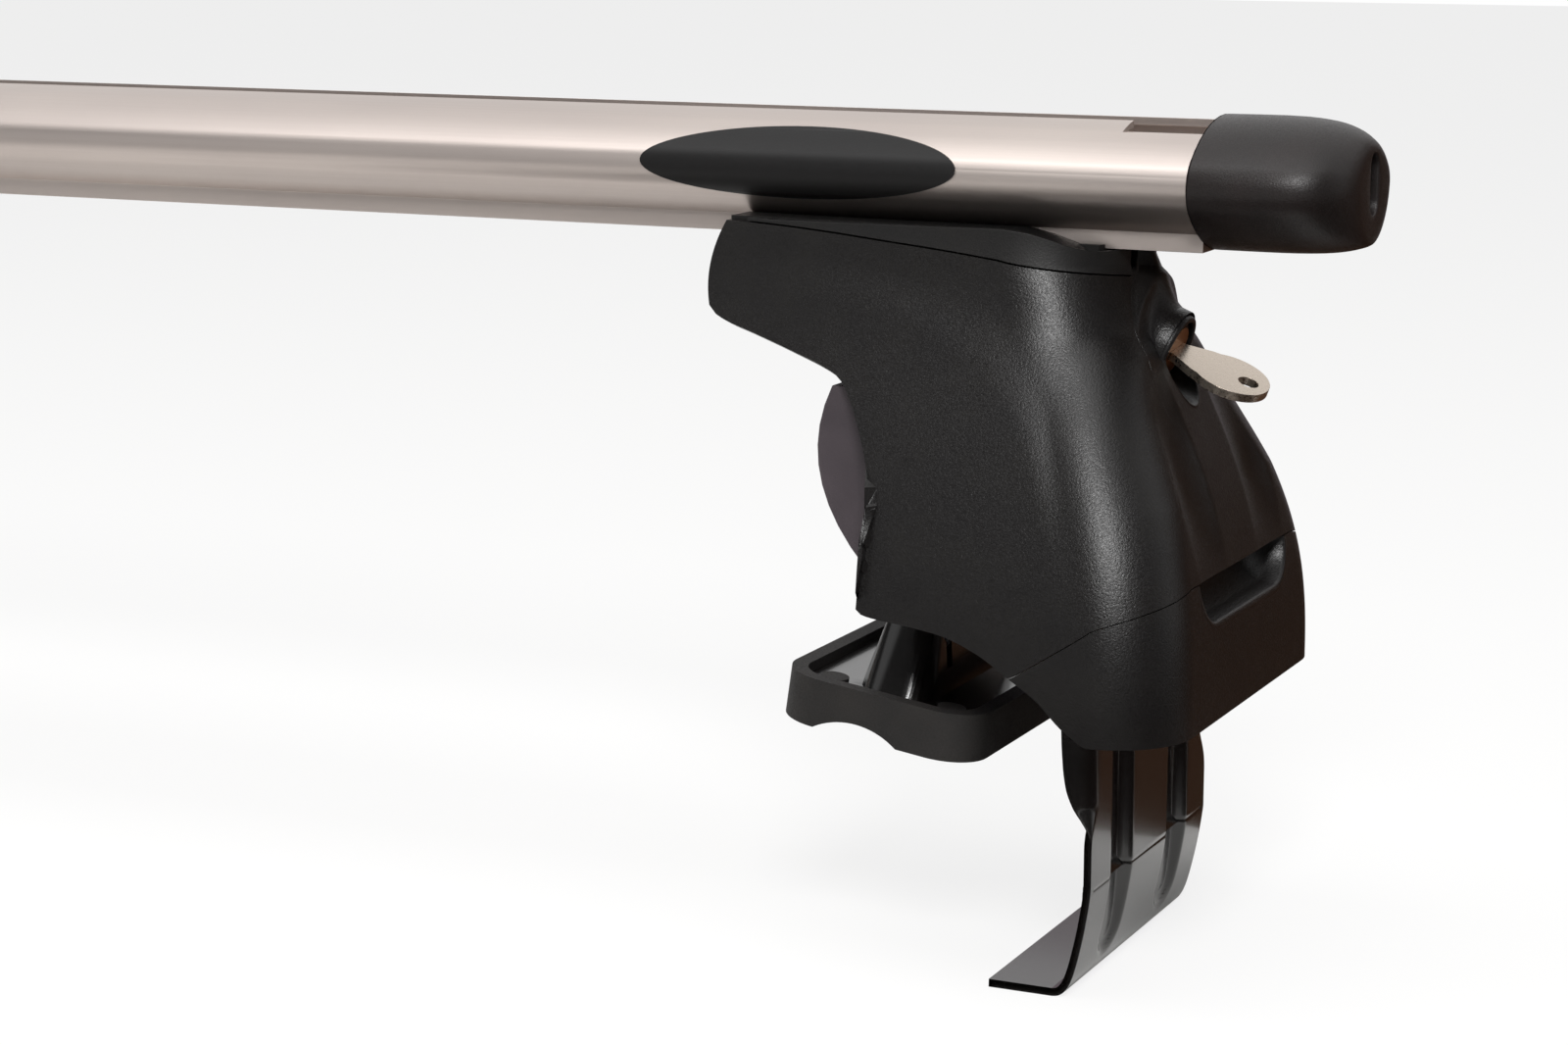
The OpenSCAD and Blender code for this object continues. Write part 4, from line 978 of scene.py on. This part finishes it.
def studio_world():
    """Soft light from all round: white to the camera and behind the object, dimmer in front of it."""
    world = bpy.data.worlds.new("studio")
    bpy.context.scene.world = world
    world.use_nodes = True
    tree = world.node_tree
    tree.nodes.clear()
    path = node(tree, "ShaderNodeLightPath")
    aim = node(tree, "ShaderNodeSeparateXYZ", {0: node(tree, "ShaderNodeTexCoord").outputs["Generated"]})
    sweep = between(tree, aim.outputs["Y"], FRONT_LEVEL, BACK_LEVEL, -0.15, 0.35)
    level = path.outputs["Is Camera Ray"]
    for light in (reckon(tree, "MULTIPLY", path.outputs["Is Glossy Ray"], sweep),
                  path.outputs["Is Transmission Ray"],
                  reckon(tree, "MULTIPLY", path.outputs["Is Diffuse Ray"], ROOM_LEVEL)):
        level = reckon(tree, "MAXIMUM", level, light)
    both = node(tree, "ShaderNodeBackground", {"Color": shade("#FFFFFF"), "Strength": level})
    node(tree, "ShaderNodeOutputWorld", {"Surface": both.outputs[0]})


def softbox(name, aim, azimuth, elevation, distance, width, height, power):
    """Area lamp seen from aim at the given azimuth and elevation, facing it."""
    a, e = math.radians(azimuth), math.radians(elevation)
    back = Vector((math.sin(a) * math.cos(e), -math.cos(a) * math.cos(e), math.sin(e)))
    data = bpy.data.lights.new(name, "AREA")
    data.shape = "RECTANGLE"
    data.size, data.size_y = width, height
    data.energy = power
    lamp = add_object(name, data)
    lamp.location = Vector(aim) + distance * back
    lamp.rotation_mode = "QUATERNION"
    lamp.rotation_quaternion = back.to_track_quat("Z", "Y")


def studio_camera():
    """The photograph's camera, as fitted to the profile, the skirt and the hook."""
    data = bpy.data.cameras.new("camera")
    data.lens = 78.14
    data.sensor_width = 36
    data.clip_start, data.clip_end = 0.05, 30
    camera = add_object("camera", data)
    camera.location = (0.8145, -0.7922, 0.2718)
    camera.rotation_euler = (math.radians(90 - 10.92), 0, math.radians(25.16))
    bpy.context.scene.camera = camera


studio_floor()
studio_world()
softbox("key", (0.55, 0, 0.13), 20, 38, 1.5, 0.4, 0.4, 21)
softbox("top", (0.3, 0, 0.2), 0, 78, 1.6, 2.4, 0.9, 22)
softbox("fill", (0.45, 0, 0.13), -42, 18, 1.9, 1.0, 1.0, 2.2)
# Glowing cards seen only in reflections: painted reflections of a dim brown room in the glossy black parts,
# a paler mauve one behind the bar, and dark ones on the floor
glowing_flag("flag_behind", (1.25, 0.75, 0.3), 1.2, 0.62)
glowing_flag("flag_on_the_floor_behind", (1.1, 0.42, 0.003), 1.4, 0.66, 0)
glowing_flag("flag_behind_the_bar", (0.1, 0.75, 0.13), 1.0, 0.28, colour="#8E7F87")
glowing_flag("flag_on_the_floor_before", (0.43, -0.3, 0.003), 0.38, 0.36, 0, "#2A2624")
glowing_flag("flag_on_the_floor_beside", (1.11, -0.28, 0.0035), 0.98, 0.72, 0, "#2A1D18")
studio_camera()

view = bpy.context.scene.view_settings
view.view_transform = "Standard"
